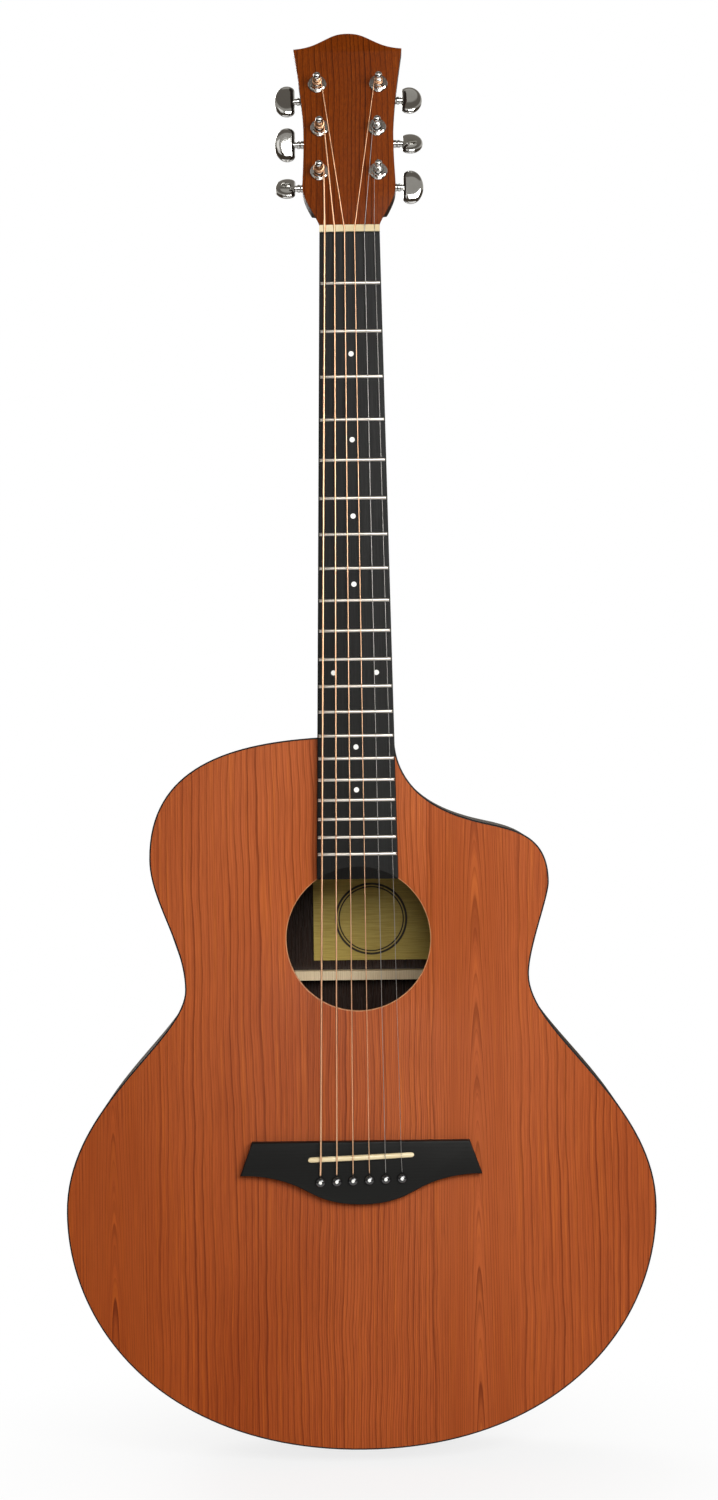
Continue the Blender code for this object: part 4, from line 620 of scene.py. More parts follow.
@dataclass(frozen=True)
class TopFinish(WoodFinish):
    """The cherry top: a board seam off the middle, a colour that deepens towards the tail, and painted shade
    towards the bass edge.
    """

    # Colour multiplied in for the darkening towards the tail and for the painted shade towards the bass edge
    lower: Colour = (0.3, 0.1, 0.03, 1.0)
    seam: float = 0.050
    seam_half_width: float = 0.0008
    seam_strength: float = 0.35
    seed_past_seam: Place = (0.4, 2.0, 5.3)
    tail_shade: Pair = (-0.42, -0.86)
    tail_share: float = 0.65
    # Painted shade: the top is darkened towards the bass edge, where the light falls off, over these x and
    # by this share
    painted_bass_shade: Pair = (0.06, -0.20)
    painted_bass_share: float = 0.40
    hearts: Pair = (-0.178, 0.084)
    heart_width: float = 0.030
    heart_slope: float = 0.075
    heart_tip: float = 0.00003
    fine_middle: float = 0.012
    fine_reach: Pair = (0.02, 0.075)
    fine_start: Pair = (-0.50, -0.60)
    fine_least: float = 0.28

    def bend(self, sheet: NodeSheet, position: Socket) -> Socket:
        """The rings folded about each board's heart, so that they meet there in pointed arches.

        Args:
            sheet: Gets the nodes.
            position: Place on the piece.

        Returns:
            The folded position.
        """
        x, y, z = sheet.split(position)
        past = sheet.math("GREATER_THAN", x, self.seam)
        heart = sheet.total(sheet.product(past, self.hearts[1] - self.hearts[0]), self.hearts[0])
        aside = sheet.math("ABSOLUTE", sheet.math("SUBTRACT", x, heart))
        folded = sheet.math("SQRT", sheet.total(sheet.math("POWER", aside, 2.0), self.heart_tip))
        arch = sheet.product(z, sheet.span(aside, 0.0, self.heart_width, self.heart_slope, 0.0))
        across = sheet.total(folded, arch)
        return sheet.add("ShaderNodeCombineXYZ", {0: across, 1: y, 2: z}).outputs[0]

    def fineness(self, sheet: NodeSheet, position: Socket) -> Socket:
        """Fine rings show most in the middle, from the soundhole down.

        Args:
            sheet: Gets the nodes.
            position: Place on the piece.

        Returns:
            How strongly they show.
        """
        x, _, z = sheet.split(position)
        middle = sheet.span(sheet.off(x, self.fine_middle), *self.fine_reach, 1.0, 0.0)
        low = sheet.span(z, *self.fine_start, 0.25, 1.0)
        return sheet.span(sheet.product(middle, low), 0.0, 1.0, self.fine_least, self.fine_strength)

    def seeded(self, sheet: NodeSheet, position: Socket) -> Socket:
        """The offset that the pattern starts from, another one past the seam."""
        past = sheet.math("GREATER_THAN", sheet.split(position)[0], self.seam)
        return sheet.mix(past, (*self.seed, 1.0), (*self.seed_past_seam, 1.0))

    def tint_and_painted_shade(self, sheet: NodeSheet, position: Socket, colour: Socket) -> Socket:
        """The colour, darker towards the tail, with painted shade towards the bass edge and a hairline at
        the seam.

        Args:
            sheet: Gets the nodes.
            position: Place on the piece.
            colour: The wood's own colour.

        Returns:
            The shaded colour.
        """
        x, _, z = sheet.split(position)
        tailward = sheet.span(z, *self.tail_shade, 0.0, self.tail_share)
        # Painted shade towards the bass edge, multiplied in with the darkening towards the tail
        painted_shade_bassward = sheet.span(x, *self.painted_bass_shade, 0.0, self.painted_bass_share)
        toned_with_painted_shade = sheet.mix(sheet.total(tailward, painted_shade_bassward), colour, self.lower, "MULTIPLY")
        aside = sheet.off(x, self.seam)
        hairline = sheet.span(aside, 0.0002, self.seam_half_width, self.seam_strength, 0.0)
        return sheet.mix(hairline, toned_with_painted_shade, self.line)


@dataclass(frozen=True)
class HardFinish(Finish):
    """Metal, plastic or bone: one colour with clouds, marks and a faint relief."""

    colour: Colour = (0.5, 0.5, 0.5, 1.0)
    second: Colour = (0.4, 0.4, 0.4, 1.0)
    metallic: float = 0.0
    cloud_scale: float = 60.0
    marks: float = 0.04
    relief: float = 0.02
    relief_depth: float = 0.0002
    grain_scale: float = 0.0

    def material(self) -> bpy.types.Material:
        """Builds the material.

        Returns:
            A hard surface with its marks in colour, gloss and relief.
        """
        material, sheet, shader, position = self.start()
        clouds = sheet.span(sheet.noise(position, self.cloud_scale, 3.0), 0.35, 0.65)
        sheet.feed(shader.inputs["Base Color"], sheet.mix(clouds, self.colour, self.second))
        sheet.feed(shader.inputs["Metallic"], self.metallic)
        marks = sheet.add("ShaderNodeGroup", node_tree=HandlingMarks().group())
        for name, value in (("Vector", position), ("Base", self.roughness), ("Amount", self.marks)):
            sheet.feed(marks.inputs[name], value)
        sheet.feed(shader.inputs["Roughness"], marks.outputs["Roughness"])
        height = marks.outputs["Height"]
        if self.grain_scale:
            height = sheet.noise(position, self.grain_scale, 2.0)
        self.raise_surface(sheet, shader, height, self.relief, self.relief_depth)
        return material


@dataclass(frozen=True)
class WoundFinish(HardFinish):
    """Wire wrapped round a string, seen as fine rings along it, with painted shade on each wrap."""

    wrap_pitch: float = 0.00045
    # Share of the second tone painted on each wrap as shade
    wrap_painted_shade: float = 0.35
    wrap_relief: float = 0.25
    wrap_depth: float = 0.00008

    def material(self) -> bpy.types.Material:
        """Builds the material.

        Returns:
            The wire's metal with a ring of painted shade for each wrap.
        """
        material, sheet, shader, position = self.start()
        turns = sheet.product(sheet.split(position)[2], math.tau / self.wrap_pitch)
        rings = sheet.span(sheet.math("SINE", turns), -1.0, 1.0)
        # Painted shade: each wrap darkens towards the second tone in a ring
        colour = sheet.mix(sheet.product(rings, self.wrap_painted_shade), self.colour, self.second)
        sheet.feed(shader.inputs["Base Color"], colour)
        sheet.feed(shader.inputs["Metallic"], self.metallic)
        self.raise_surface(sheet, shader, rings, self.wrap_relief, self.wrap_depth)
        return material


@dataclass(frozen=True)
class PaperFinish(Finish):
    """The label's gilt paper with its two plain printed rings."""

    paper: Colour = from_screen(194, 170, 88)
    shade: Colour = from_screen(168, 144, 66)
    ink: Colour = from_screen(44, 36, 20)
    metallic: float = 0.35
    brushing: Place = (60, 60, 2600)
    centre: Pair = (0.0097, -0.4980)
    rings: tuple[Pair, ...] = ((0.0263, 0.00085), (0.0241, 0.00055))

    def material(self) -> bpy.types.Material:
        """Builds the material.

        Returns:
            Brushed gilt paper with dark rings round its middle.
        """
        material, sheet, shader, position = self.start()
        x, _, z = sheet.split(position)
        sides = [
            sheet.math("POWER", sheet.math("SUBTRACT", along, middle), 2.0)
            for along, middle in zip((x, z), self.centre)
        ]
        radius = sheet.math("SQRT", sheet.total(*sides))
        brushed = sheet.noise(sheet.stretch(position, self.brushing), 1.0, 3.0)
        colour = sheet.mix(sheet.span(brushed, 0.3, 0.7), self.paper, self.shade)
        for ring, half_width in self.rings:
            edge = half_width * 0.8, half_width * 1.1
            colour = sheet.mix(sheet.span(sheet.off(radius, ring), *edge, 1.0, 0.0), colour, self.ink)
        sheet.feed(shader.inputs["Base Color"], colour)
        sheet.feed(shader.inputs["Metallic"], self.metallic)
        self.raise_surface(sheet, shader, brushed, 0.1, 0.0001)
        return material


class FinishRack:
    """All the finishes of the guitar, each made into a material at its first use."""

    def __init__(self) -> None:
        """Lists the finishes."""
        cherry = dict(
            # The cherry's multiply colour darkens the tail and paints shade on the bass side
            tones(light=(178, 93, 50), dark=(163, 80, 38), line=(88, 28, 5), lower=(211, 188, 138)),
            **tones(streak=(198, 108, 46)),
            streak_strength=0.4,
            gleam=0.08,
            line_scale=190.0,
            warp=0.02,
            fine_strength=0.55,
            line_strength=0.68,
        )
        head = dict(
            tones(light=(120, 52, 5), dark=(108, 43, 3), line=(44, 14, 1), streak=(138, 66, 12)),
            streak_strength=0.3,
            gleam=0.08,
            line_scale=260.0,
            warp=0.012,
            line_strength=0.9,
        )
        body = dict(tones(light=(56, 40, 33), dark=(40, 29, 24), line=(18, 13, 11)), gleam=0.25)
        charcoal = tones(light=(24, 24, 22), dark=(16, 16, 15), line=(8, 8, 7))
        charcoal |= {"gleam": 0.15, "line_scale": 500.0}
        spruce = tones(light=(232, 214, 180), dark=(220, 198, 160), line=(178, 146, 104))
        spruce |= {"line_scale": 700.0, "warp": 0.004, "relief": 0.4}
        edge = tones(light=(206, 146, 98), dark=(186, 124, 76), line=(120, 66, 32))
        black = tones(colour=(18, 18, 19), second=(25, 25, 26))
        finishes = (
            TopFinish("cherry_top", 0.42, 0.0, 0.2, **cherry),
            WoodFinish("cut_edge", 0.5, **edge),
            WoodFinish("head_veneer", 0.4, **head),
            WoodFinish("neck_wood", 0.4, **body, line_scale=300.0, warp=0.03, seed=(1, 4, 2)),
            WoodFinish("body_sides", 0.26, 0.3, 0.1, **body, line_scale=150.0, warp=0.09, seed=(3, 1, 7)),
            WoodFinish("black_wood", 0.46, **charcoal, warp=0.01, fibre_strength=0.5),
            WoodFinish("bridge_wood", 0.46, **charcoal, run=GrainRun.ACROSS),
            WoodFinish("brace_wood", 0.62, **spruce),
            HardFinish("black_binding", 0.45, gleam=0.12, **black, cloud_scale=30.0),
            HardFinish("black_plastic", 0.38, **black, grain_scale=2400.0, relief=0.12),
            HardFinish("pin_plastic", 0.16, gleam=0.9, **black, cloud_scale=30.0),
            HardFinish("knob_plastic", 0.24, **black, marks=0.1),
            self.plain("cream_bone", (228, 214, 178), (214, 196, 154), 0.3, 0.3),
            self.plain("white_inlay", (250, 250, 246), (236, 236, 230), 0.3),
            self.plain("inlay_rim", (120, 120, 116), (100, 100, 98), 0.4),
            self.plain("indicator", (150, 26, 20), (120, 18, 14), 0.2, 0.8),
            self.metal("chrome", (0.70, 0.69, 0.66), (0.64, 0.63, 0.60), 0.06, 0.04),
            self.metal("steel", (0.50, 0.48, 0.46), (0.44, 0.42, 0.40), 0.4, 0.0),
            self.metal("fret_metal", (0.74, 0.69, 0.62), (0.70, 0.65, 0.58), 0.34, 0.01),
            # The wound strings' second tone is the painted shade of their wraps
            self.metal("bronze_wrap", (0.98, 0.60, 0.36), (0.74, 0.40, 0.22), 0.36, 0.04, WoundFinish),
            PaperFinish("gilt_paper", 0.42),
        )
        self.finishes = {finish.name: finish for finish in finishes}
        self.made: dict[str, bpy.types.Material] = {}

    @staticmethod
    def plain(
        name: str, colour: Sequence[int], second: Sequence[int], roughness: float, coat: float = 0.0
    ) -> HardFinish:
        """Bone or plastic in two tones as they look on a screen."""
        return HardFinish(name, roughness, coat, **tones(colour=colour, second=second))

    @staticmethod
    def metal(
        name: str, colour: Place, second: Place, roughness: float, marks: float, kind: type = HardFinish
    ) -> HardFinish:
        """Metal in two tones, as a share of the light that it gives back."""
        tones = {"colour": (*colour, 1.0), "second": (*second, 1.0)}
        return kind(name, roughness, **tones, metallic=1.0, marks=marks)

    def get(self, name: str) -> bpy.types.Material:
        """Looks a material up.

        Args:
            name: The finish.

        Returns:
            Its material, made at the first call.
        """
        if name not in self.made:
            self.made[name] = self.finishes[name].material()
        return self.made[name]


# Modelling
class Shape:
    """A mesh under construction, shaped with mesh operators."""

    def __init__(self) -> None:
        """Starts empty."""
        self.bm = bmesh.new()

    def loop(self, points: Iterable[Vector], closed: bool = True) -> list[Edge]:
        """Adds vertices joined by edges.

        Args:
            points: Where the vertices go.
            closed: Whether the last joins the first.

        Returns:
            The new edges in order.
        """
        verts = [self.bm.verts.new(point) for point in points]
        pairs = list(zip(verts, verts[1:]))
        if closed:
            pairs.append((verts[-1], verts[0]))
        return [self.bm.edges.new(pair) for pair in pairs]

    def skin(self, rings: Sequence[Sequence[Vector]], ends: bool = True) -> None:
        """Bridges rings of points one after another, and fills the two ends.

        Args:
            rings: Closed rings of points in order.
            ends: Whether the two ends are filled.
        """
        loops = [self.loop(ring) for ring in rings]
        for first, second in zip(loops, loops[1:]):
            bmesh.ops.bridge_loops(self.bm, edges=first + second)
        if ends:
            for edges in (loops[0], loops[-1]):
                bmesh.ops.edgeloop_fill(self.bm, edges=edges)

    def slab(self, outline: Sequence[Vector], move: Vector, holes: Sequence[Sequence[Vector]] = ()) -> None:
        """Fills a flat outline round its holes and draws it out into a slab.

        Args:
            outline: Its outer points.
            move: Way and length of the draw.
            holes: Points round each hole.
        """
        edges = self.loop(outline)
        for hole in holes:
            edges += self.loop(hole)
        filled = bmesh.ops.triangle_fill(self.bm, use_beauty=True, edges=edges)
        faces = [item for item in filled["geom"] if isinstance(item, bmesh.types.BMFace)]
        drawn = bmesh.ops.extrude_face_region(self.bm, geom=faces)
        verts = [item for item in drawn["geom"] if isinstance(item, bmesh.types.BMVert)]
        bmesh.ops.translate(self.bm, verts=verts, vec=move)

    def turn(
        self, profile: Sequence[Pair], frame: Matrix, steps: int = 48, closed: bool = False
    ) -> None:
        """Spins a profile of (radius, height) pairs round the frame's Z axis.

        Args:
            profile: The pairs in order.
            frame: Where the axis goes.
            steps: Facets round the axis.
            closed: Whether the profile joins up.
        """
        before = set(self.bm.verts)
        edges = self.loop([Vector((radius, 0, height)) for radius, height in profile], closed)
        bmesh.ops.spin(
            self.bm,
            geom=[*{vert for edge in edges for vert in edge.verts}, *edges],
            cent=(0, 0, 0),
            axis=(0, 0, 1),
            dvec=(0, 0, 0),
            angle=math.tau,
            steps=steps,
            use_merge=True,
            use_normal_flip=False,
            use_duplicate=False,
        )
        fresh = [vert for vert in self.bm.verts if vert not in before]
        bmesh.ops.transform(self.bm, matrix=frame, verts=fresh)

    def block(
        self, low: Sequence[float], high: Sequence[float], frame: Matrix, round_off: float, segments: int
    ) -> None:
        """A block between two corners in a frame, with all its edges rounded.

        Args:
            low: Its lowest corner in the frame.
            high: Its highest corner.
            frame: Where it stands.
            round_off: Width of the rounding.
            segments: Facets across an edge.
        """
        low, high = Vector(low), Vector(high)
        made = bmesh.ops.create_cube(self.bm, size=1.0)["verts"]
        bmesh.ops.scale(self.bm, vec=high - low, verts=made)
        bmesh.ops.translate(self.bm, vec=(low + high) / 2, verts=made)
        edges = list({edge for vert in made for edge in vert.link_edges})
        rounded = self.bevel(edges, round_off, segments)
        verts = list({*rounded, *(vert for vert in made if vert.is_valid)})
        bmesh.ops.transform(self.bm, matrix=frame, verts=verts)

    def bevel(self, edges: Sequence[Edge], offset: float, segments: int) -> list[bmesh.types.BMVert]:
        """Rounds edges off.

        Args:
            edges: The edges.
            offset: Width of the rounding.
            segments: Facets across it.

        Returns:
            The vertices that this makes.
        """
        made = bmesh.ops.bevel(
            self.bm, geom=edges, offset=offset, segments=segments, profile=0.5, affect="EDGES", material=-1
        )
        return made["verts"]

    def round_edges(self, chosen: Callable[[Edge], bool], offset: float, segments: int = 3) -> None:
        """Rounds the edges that a test picks."""
        self.bevel([edge for edge in self.bm.edges if chosen(edge)], offset, segments)

    def mark(self, before: set[bmesh.types.BMFace], slot: int) -> None:
        """Gives the faces made since then another material slot."""
        for face in set(self.bm.faces) - before:
            face.material_index = slot

    def wrap(self, chains: Sequence[Sequence[Vector]]) -> None:
        """Bridges open chains of points one after another and back to the first, and fills the ends.

        Args:
            chains: Chains with the same number of points.
        """
        runs = [self.loop(chain, closed=False) for chain in chains]
        for first, second in zip(runs, runs[1:] + runs[:1]):
            bmesh.ops.bridge_loops(self.bm, edges=first + second)
        rims = [edge for edge in self.bm.edges if edge.is_boundary]
        bmesh.ops.holes_fill(self.bm, edges=rims, sides=len(chains))

    def join(self, other: "Shape") -> None:
        """Takes over another shape's mesh.

        Args:
            other: The shape, which is used up.
        """
        mesh = bpy.data.meshes.new("joined")
        other.bm.to_mesh(mesh)
        other.bm.free()
        self.bm.from_mesh(mesh)
        bpy.data.meshes.remove(mesh)

    def close(self) -> None:
        """Merges doubled vertices and turns the faces outwards."""
        bmesh.ops.remove_doubles(self.bm, verts=self.bm.verts, dist=0.000002)
        bmesh.ops.recalc_face_normals(self.bm, faces=self.bm.faces)


@dataclass
class Bench:
    """Puts finished shapes on their bodies with their finishes."""

    rack: FinishRack
    nodes: dict[str, bpy.types.Object]
    flatness: float = 0.99999
    count: int = 0

    def mount(
        self,
        name: str,
        shape: Shape,
        finishes: Sequence[str],
        body: str = ROOT_BODY,
        nodes: Sequence[str] = (),
        slot: str = "",
        flat: Sequence[Vector] = (),
        crease: float = 40.0,
    ) -> bpy.types.Object:
        """Turns a shape into a piece of the guitar.

        Args:
            name: The piece's name.
            shape: The mesh to finish.
            finishes: Names of the finishes in its material slots.
            body: The body that it rides on.
            nodes: The nodes that it stands for.
            slot: The record's material slot; not used.
            flat: Directions in which faces are flat and stay unsmoothed.
            crease: Edges bent by more than this angle in degrees stay sharp.

        Returns:
            The new object.
        """
        mesh = bpy.data.meshes.new(name)
        for face in shape.bm.faces:
            face.smooth = not any(abs(face.normal.dot(way)) > self.flatness for way in flat)
        shape.bm.to_mesh(mesh)
        shape.bm.free()
        mesh.set_sharp_from_angle(angle=math.radians(crease))
        for finish in finishes:
            mesh.materials.append(self.rack.get(finish))
        obj = bpy.data.objects.new(name, mesh)
        return self.settle(obj, body, nodes)

    def settle(self, obj: bpy.types.Object, body: str, nodes: Sequence[str]) -> bpy.types.Object:
        """Links an object into the scene, on its body and in place of its nodes.

        Args:
            obj: The object.
            body: The body that it rides on.
            nodes: The nodes that it stands for.

        Returns:
            The same object.
        """
        bpy.context.scene.collection.objects.link(obj)
        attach(obj, body)
        if nodes:
            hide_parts(*nodes)
        self.count += 1
        LOG.info("%s on %s", obj.name, body)
        return obj

    def dress(self, finish: str, *names: str) -> None:
        """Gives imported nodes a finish.

        Args:
            finish: Name of the finish.
            *names: The nodes.
        """
        for name in names:
            for slot in self.nodes[name].material_slots:
                slot.material = self.rack.get(finish)
            LOG.info("%s dressed in %s", name, finish)


# Sub-assemblies
class Anchor:
    """A point of the body's outline with its direction of travel and handles."""

    def __init__(self, x: float, down: float, heading: float, before: float, after: float) -> None:
        """Places the anchor.

        Args:
            x: Place across the body.
            down: Distance below the neck joint.
            heading: Direction of travel in degrees.
            before: Length of the handle behind it.
            after: Length of the handle ahead of it.
        """
        self.point = Vector((x, -down, 0))
        angle = math.radians(heading)
        travel = Vector((math.cos(angle), math.sin(angle), 0))
        self.before = self.point - travel * before
        self.after = self.point + travel * after


@dataclass
class BodyShell:
    """Top, binding, sides and back of the body, and what is glued inside."""

    plan: GuitarPlan
    bench: Bench
    upper_bout: Pair = (0.1496, 0.0875)
    bass_waist: Pair = (0.1250, 0.1811)
    treble_waist: Pair = (0.1223, 0.1731)
    lower_bout: Pair = (0.2121, 0.3407)
    horn: Pair = (0.1374, 0.1064)
    cutaway_middle: Pair = (0.0805, 0.0606)
    cutaway_slope: float = 18.2
    cutaway_start: float = 0.0274
    binding_width: float = 0.0010
    binding_depth: float = 0.005
    rib_thickness: float = 0.0022
    back_thickness: float = 0.0028
    back_gap: float = 0.0004
    refine: int = 5
    tail_anchor: int = 4
    hole_sides: int = 160
    hole_round: float = 0.0006
    hole_edge_reach: float = 0.0007
    top_gap: float = 0.0001
    binding_round: float = 0.0007
    back_shares: tuple[float, ...] = (0.03, 0.25, 0.45, 0.62, 0.77, 0.89, 0.97, 1.0)
    back_round: float = 0.0009
    window_half: Pair = (0.0223, 0.0288)
    window_depth: float = 0.02
    window_surroundings: float = 0.12

    def anchors(self) -> tuple[tuple[Anchor, int], ...]:
        """Anchors from the neck joint down the bass side and up the treble side.

        Returns:
            Each anchor with the number of steps to the next.
        """
        gap = self.plan.joint_gap
        length = self.plan.body_length
        treble = self.treble_waist
        return (
            (Anchor(0, gap, 180, 0, 0.080), 7),
            (Anchor(-self.upper_bout[0], self.upper_bout[1], -90, 0.073, 0.030), 5),
            (Anchor(-self.bass_waist[0], self.bass_waist[1], -90, 0.033, 0.0366), 7),
            (Anchor(-self.lower_bout[0], self.lower_bout[1], -90, 0.0776, 0.0878), 9),
            (Anchor(0, length, 0, 0.1382, 0.1382), 9),
            (Anchor(self.lower_bout[0], self.lower_bout[1], 90, 0.0878, 0.0772), 7),
            (Anchor(treble[0], treble[1], 90, 0.0436, 0.0190), 5),
            (Anchor(self.horn[0], self.horn[1], 90, 0.0115, 0.0398), 8),
            (Anchor(*self.cutaway_middle, 180 - self.cutaway_slope, 0.0246, 0.0100), 6),
            (Anchor(self.cutaway_start, gap, 90, 0.045, 0), 0),
        )

    def outline(self) -> tuple[list[Vector], int]:
        """Points round the body as (x, z).

        Returns:
            The points, and the tail point's index.
        """
        anchors = self.anchors()
        drop = Vector((0, -self.plan.body_top, 0))
        points: list[Vector] = []
        tail = 0
        for number, ((start, steps), (end, _)) in enumerate(zip(anchors, anchors[1:])):
            if number == self.tail_anchor:
                tail = len(points)
            count = steps * self.refine + 1
            curve = interpolate_bezier(start.point, start.after, end.before, end.point, count)
            points += [(point + drop).xy for point in curve[:-1]]
        points.append((anchors[-1][0].point + drop).xy)
        return points, tail

    @staticmethod
    def inset(points: Sequence[Vector], distance: float) -> list[Vector]:
        """A closed outline moved inwards, with its corners mitred.

        Args:
            points: The outline.
            distance: How far it moves.

        Returns:
            The moved points.
        """
        moved = []
        for i, point in enumerate(points):
            into = (point - points[i - 1]).normalized()
            out = (points[(i + 1) % len(points)] - point).normalized()
            sides = Vector((-into.y, into.x)), Vector((-out.y, out.x))
            moved.append(point + (sides[0] + sides[1]) * (distance / (1 + sides[0].dot(sides[1]))))
        return moved

    @staticmethod
    def at_depth(points: Iterable[Vector], depth: float) -> list[Vector]:
        """Outline points set at one depth."""
        return [Vector((point.x, depth, point.y)) for point in points]

    def at_back(self, points: Iterable[Vector], rise: float = 0.0) -> list[Vector]:
        """Outline points set on the domed back, or behind it by a rise."""
        return [below(p.x, -p.y, self.plan.back_depth(p.x, -p.y) + rise) for p in points]

    def build(self) -> None:
        """Makes the shell's pieces and dresses the inner ones."""
        self.points, self.tail_index = self.outline()
        self.make_top()
        self.make_binding()
        self.make_sides()
        self.make_back()
        self.bench.dress(
            "brace_wood",
            *("top_lining", "back_lining", "neck_block", "tail_block", "top_bracing"),
            *("transverse_brace", "bridge_plate", *(f"back_brace_{number}" for number in (1, 2, 3))),
        )
        self.bench.dress("gilt_paper", "label")

    def make_top(self) -> None:
        """The soundboard with its round soundhole, whose cut edge shows pale."""
        plan = self.plan
        shape = Shape()
        rim = self.at_depth(self.inset(self.points, self.binding_width + self.top_gap), 0)
        centre = below(0, plan.soundhole, 0)
        angles = [math.tau * step / self.hole_sides for step in range(self.hole_sides)]
        hole = [centre + Vector((math.cos(a), 0, math.sin(a))) * plan.soundhole_radius for a in angles]
        shape.slab(rim, Vector((0, plan.soundboard_thickness, 0)), [hole])
        shape.close()

        def at_hole(edge: Edge) -> bool:
            """Whether an edge runs round the soundhole on the face."""
            return all(
                abs((vert.co - centre).length - plan.soundhole_radius) < 2 * HAIR and vert.co.y < HAIR
                for vert in edge.verts
            )

        shape.round_edges(at_hole, self.hole_round, 2)
        reach = plan.soundhole_radius + self.hole_edge_reach
        for face in shape.bm.faces:
            near = (face.calc_center_median() - centre).length < reach
            face.material_index = 1 if near and abs(face.normal.y) < 0.98 else 0
        finishes = ("cherry_top", "cut_edge")
        facing = [Vector((0, 1, 0))]
        nodes = ["soundboard"]
        self.bench.mount("top_plate", shape, finishes, nodes=nodes, slot="cherry_top", flat=facing)

    def make_binding(self) -> None:
        """The black strip round the top's edge, rounded where a hand meets it."""
        shape = Shape()
        outer = shape.loop(self.at_depth(self.points, 0))
        inner = shape.loop(self.at_depth(self.inset(self.points, self.binding_width), 0))
        bmesh.ops.bridge_loops(shape.bm, edges=outer + inner)
        drawn = bmesh.ops.extrude_face_region(shape.bm, geom=list(shape.bm.faces))
        verts = [item for item in drawn["geom"] if isinstance(item, bmesh.types.BMVert)]
        bmesh.ops.translate(shape.bm, verts=verts, vec=(0, self.binding_depth, 0))
        shape.close()
        rim = {edge for edge in outer if edge.is_valid}
        shape.round_edges(lambda edge: edge in rim, self.binding_round)
        self.bench.mount("binding", shape, ("black_binding",), nodes=["top_binding"], slot="black_binding")

    def make_sides(self) -> None:
        """The two bent sides, the bass one with the window behind the preamp."""
        count = len(self.points)
        inner = self.inset(self.points, self.rib_thickness)
        spans = {"bass": range(self.tail_index + 1), "treble": range(self.tail_index, count + 1)}
        for name, numbers in spans.items():
            outside = [self.points[i % count] for i in numbers]
            inside = [inner[i % count] for i in numbers]
            front = [self.at_depth(side, self.binding_depth) for side in (outside, inside)]
            rear = [self.at_back(side) for side in (inside, outside)]
            shape = Shape()
            shape.wrap([*front, *rear])
            if name == "bass":
                self.cut_window(shape)
            shape.close()
            self.bench.mount(f"side_{name}", shape, ("body_sides",), nodes=[f"rib_{name}"], slot="dark_body")

    def cut_window(self, shape: Shape) -> None:
        """Opens the side where the preamp's case goes through it.

        Args:
            shape: The bass side.
        """
        frame = preamp_frame()
        inverse = frame.inverted()
        near = [
            face
            for face in shape.bm.faces
            if (face.calc_center_median() - frame.translation).length < self.window_surroundings
        ]
        edges = {edge for face in near for edge in face.edges}
        whole = [*near, *edges, *{vert for face in near for vert in face.verts}]
        for axis, half in enumerate(self.window_half):
            way = frame.col[axis].to_3d()
            for sign in (-1, 1):
                place = frame.translation + way * half * sign
                made = bmesh.ops.bisect_plane(shape.bm, geom=whole, plane_co=place, plane_no=way)
                whole = made["geom"]
        limits = (*self.window_half, self.window_depth)
        inside = []
        for face in shape.bm.faces:
            place = inverse @ face.calc_center_median()
            if all(abs(along) < limit for along, limit in zip(place, limits)):
                inside.append(face)
        bmesh.ops.delete(shape.bm, geom=inside, context="FACES")
        rims = [edge for edge in shape.bm.edges if edge.is_boundary]
        bmesh.ops.bridge_loops(shape.bm, edges=rims)

    def make_back(self) -> None:
        """The domed back, drawn in from its edge to the middle in rings."""
        plan = self.plan
        centre = Vector((0, -plan.body_top - plan.body_length / 2))
        outside = self.back_gap + self.back_thickness
        rings = [[centre.lerp(point, share) for point in self.points] for share in self.back_shares]
        inner, outer = ([self.at_back(ring, rise) for ring in rings] for rise in (self.back_gap, outside))
        shape = Shape()
        shape.skin([*inner, *reversed(outer)])
        shape.close()

        def on_rim(edge: Edge) -> bool:
            """Whether an edge runs round the back's outer corner."""
            return edge.calc_face_angle(0) > 1.2 and all(
                vert.co.y > plan.back_depth(vert.co.x, -vert.co.z) + outside - 2 * HAIR
                for vert in edge.verts
            )

        shape.round_edges(on_rim, self.back_round)
        self.bench.mount("back_plate", shape, ("body_sides",), nodes=["back"], slot="dark_body")


def preamp_frame() -> Matrix:
    """On the bass side: +X away from the soundboard, +Y down the side, +Z outwards."""
    turn = Matrix(((0, 0.320066, -0.947395), (1, 0, 0), (0, -0.947395, -0.320066))).to_4x4()
    return Matrix.Translation((-0.136768, 0.054, -0.496454)) @ turn


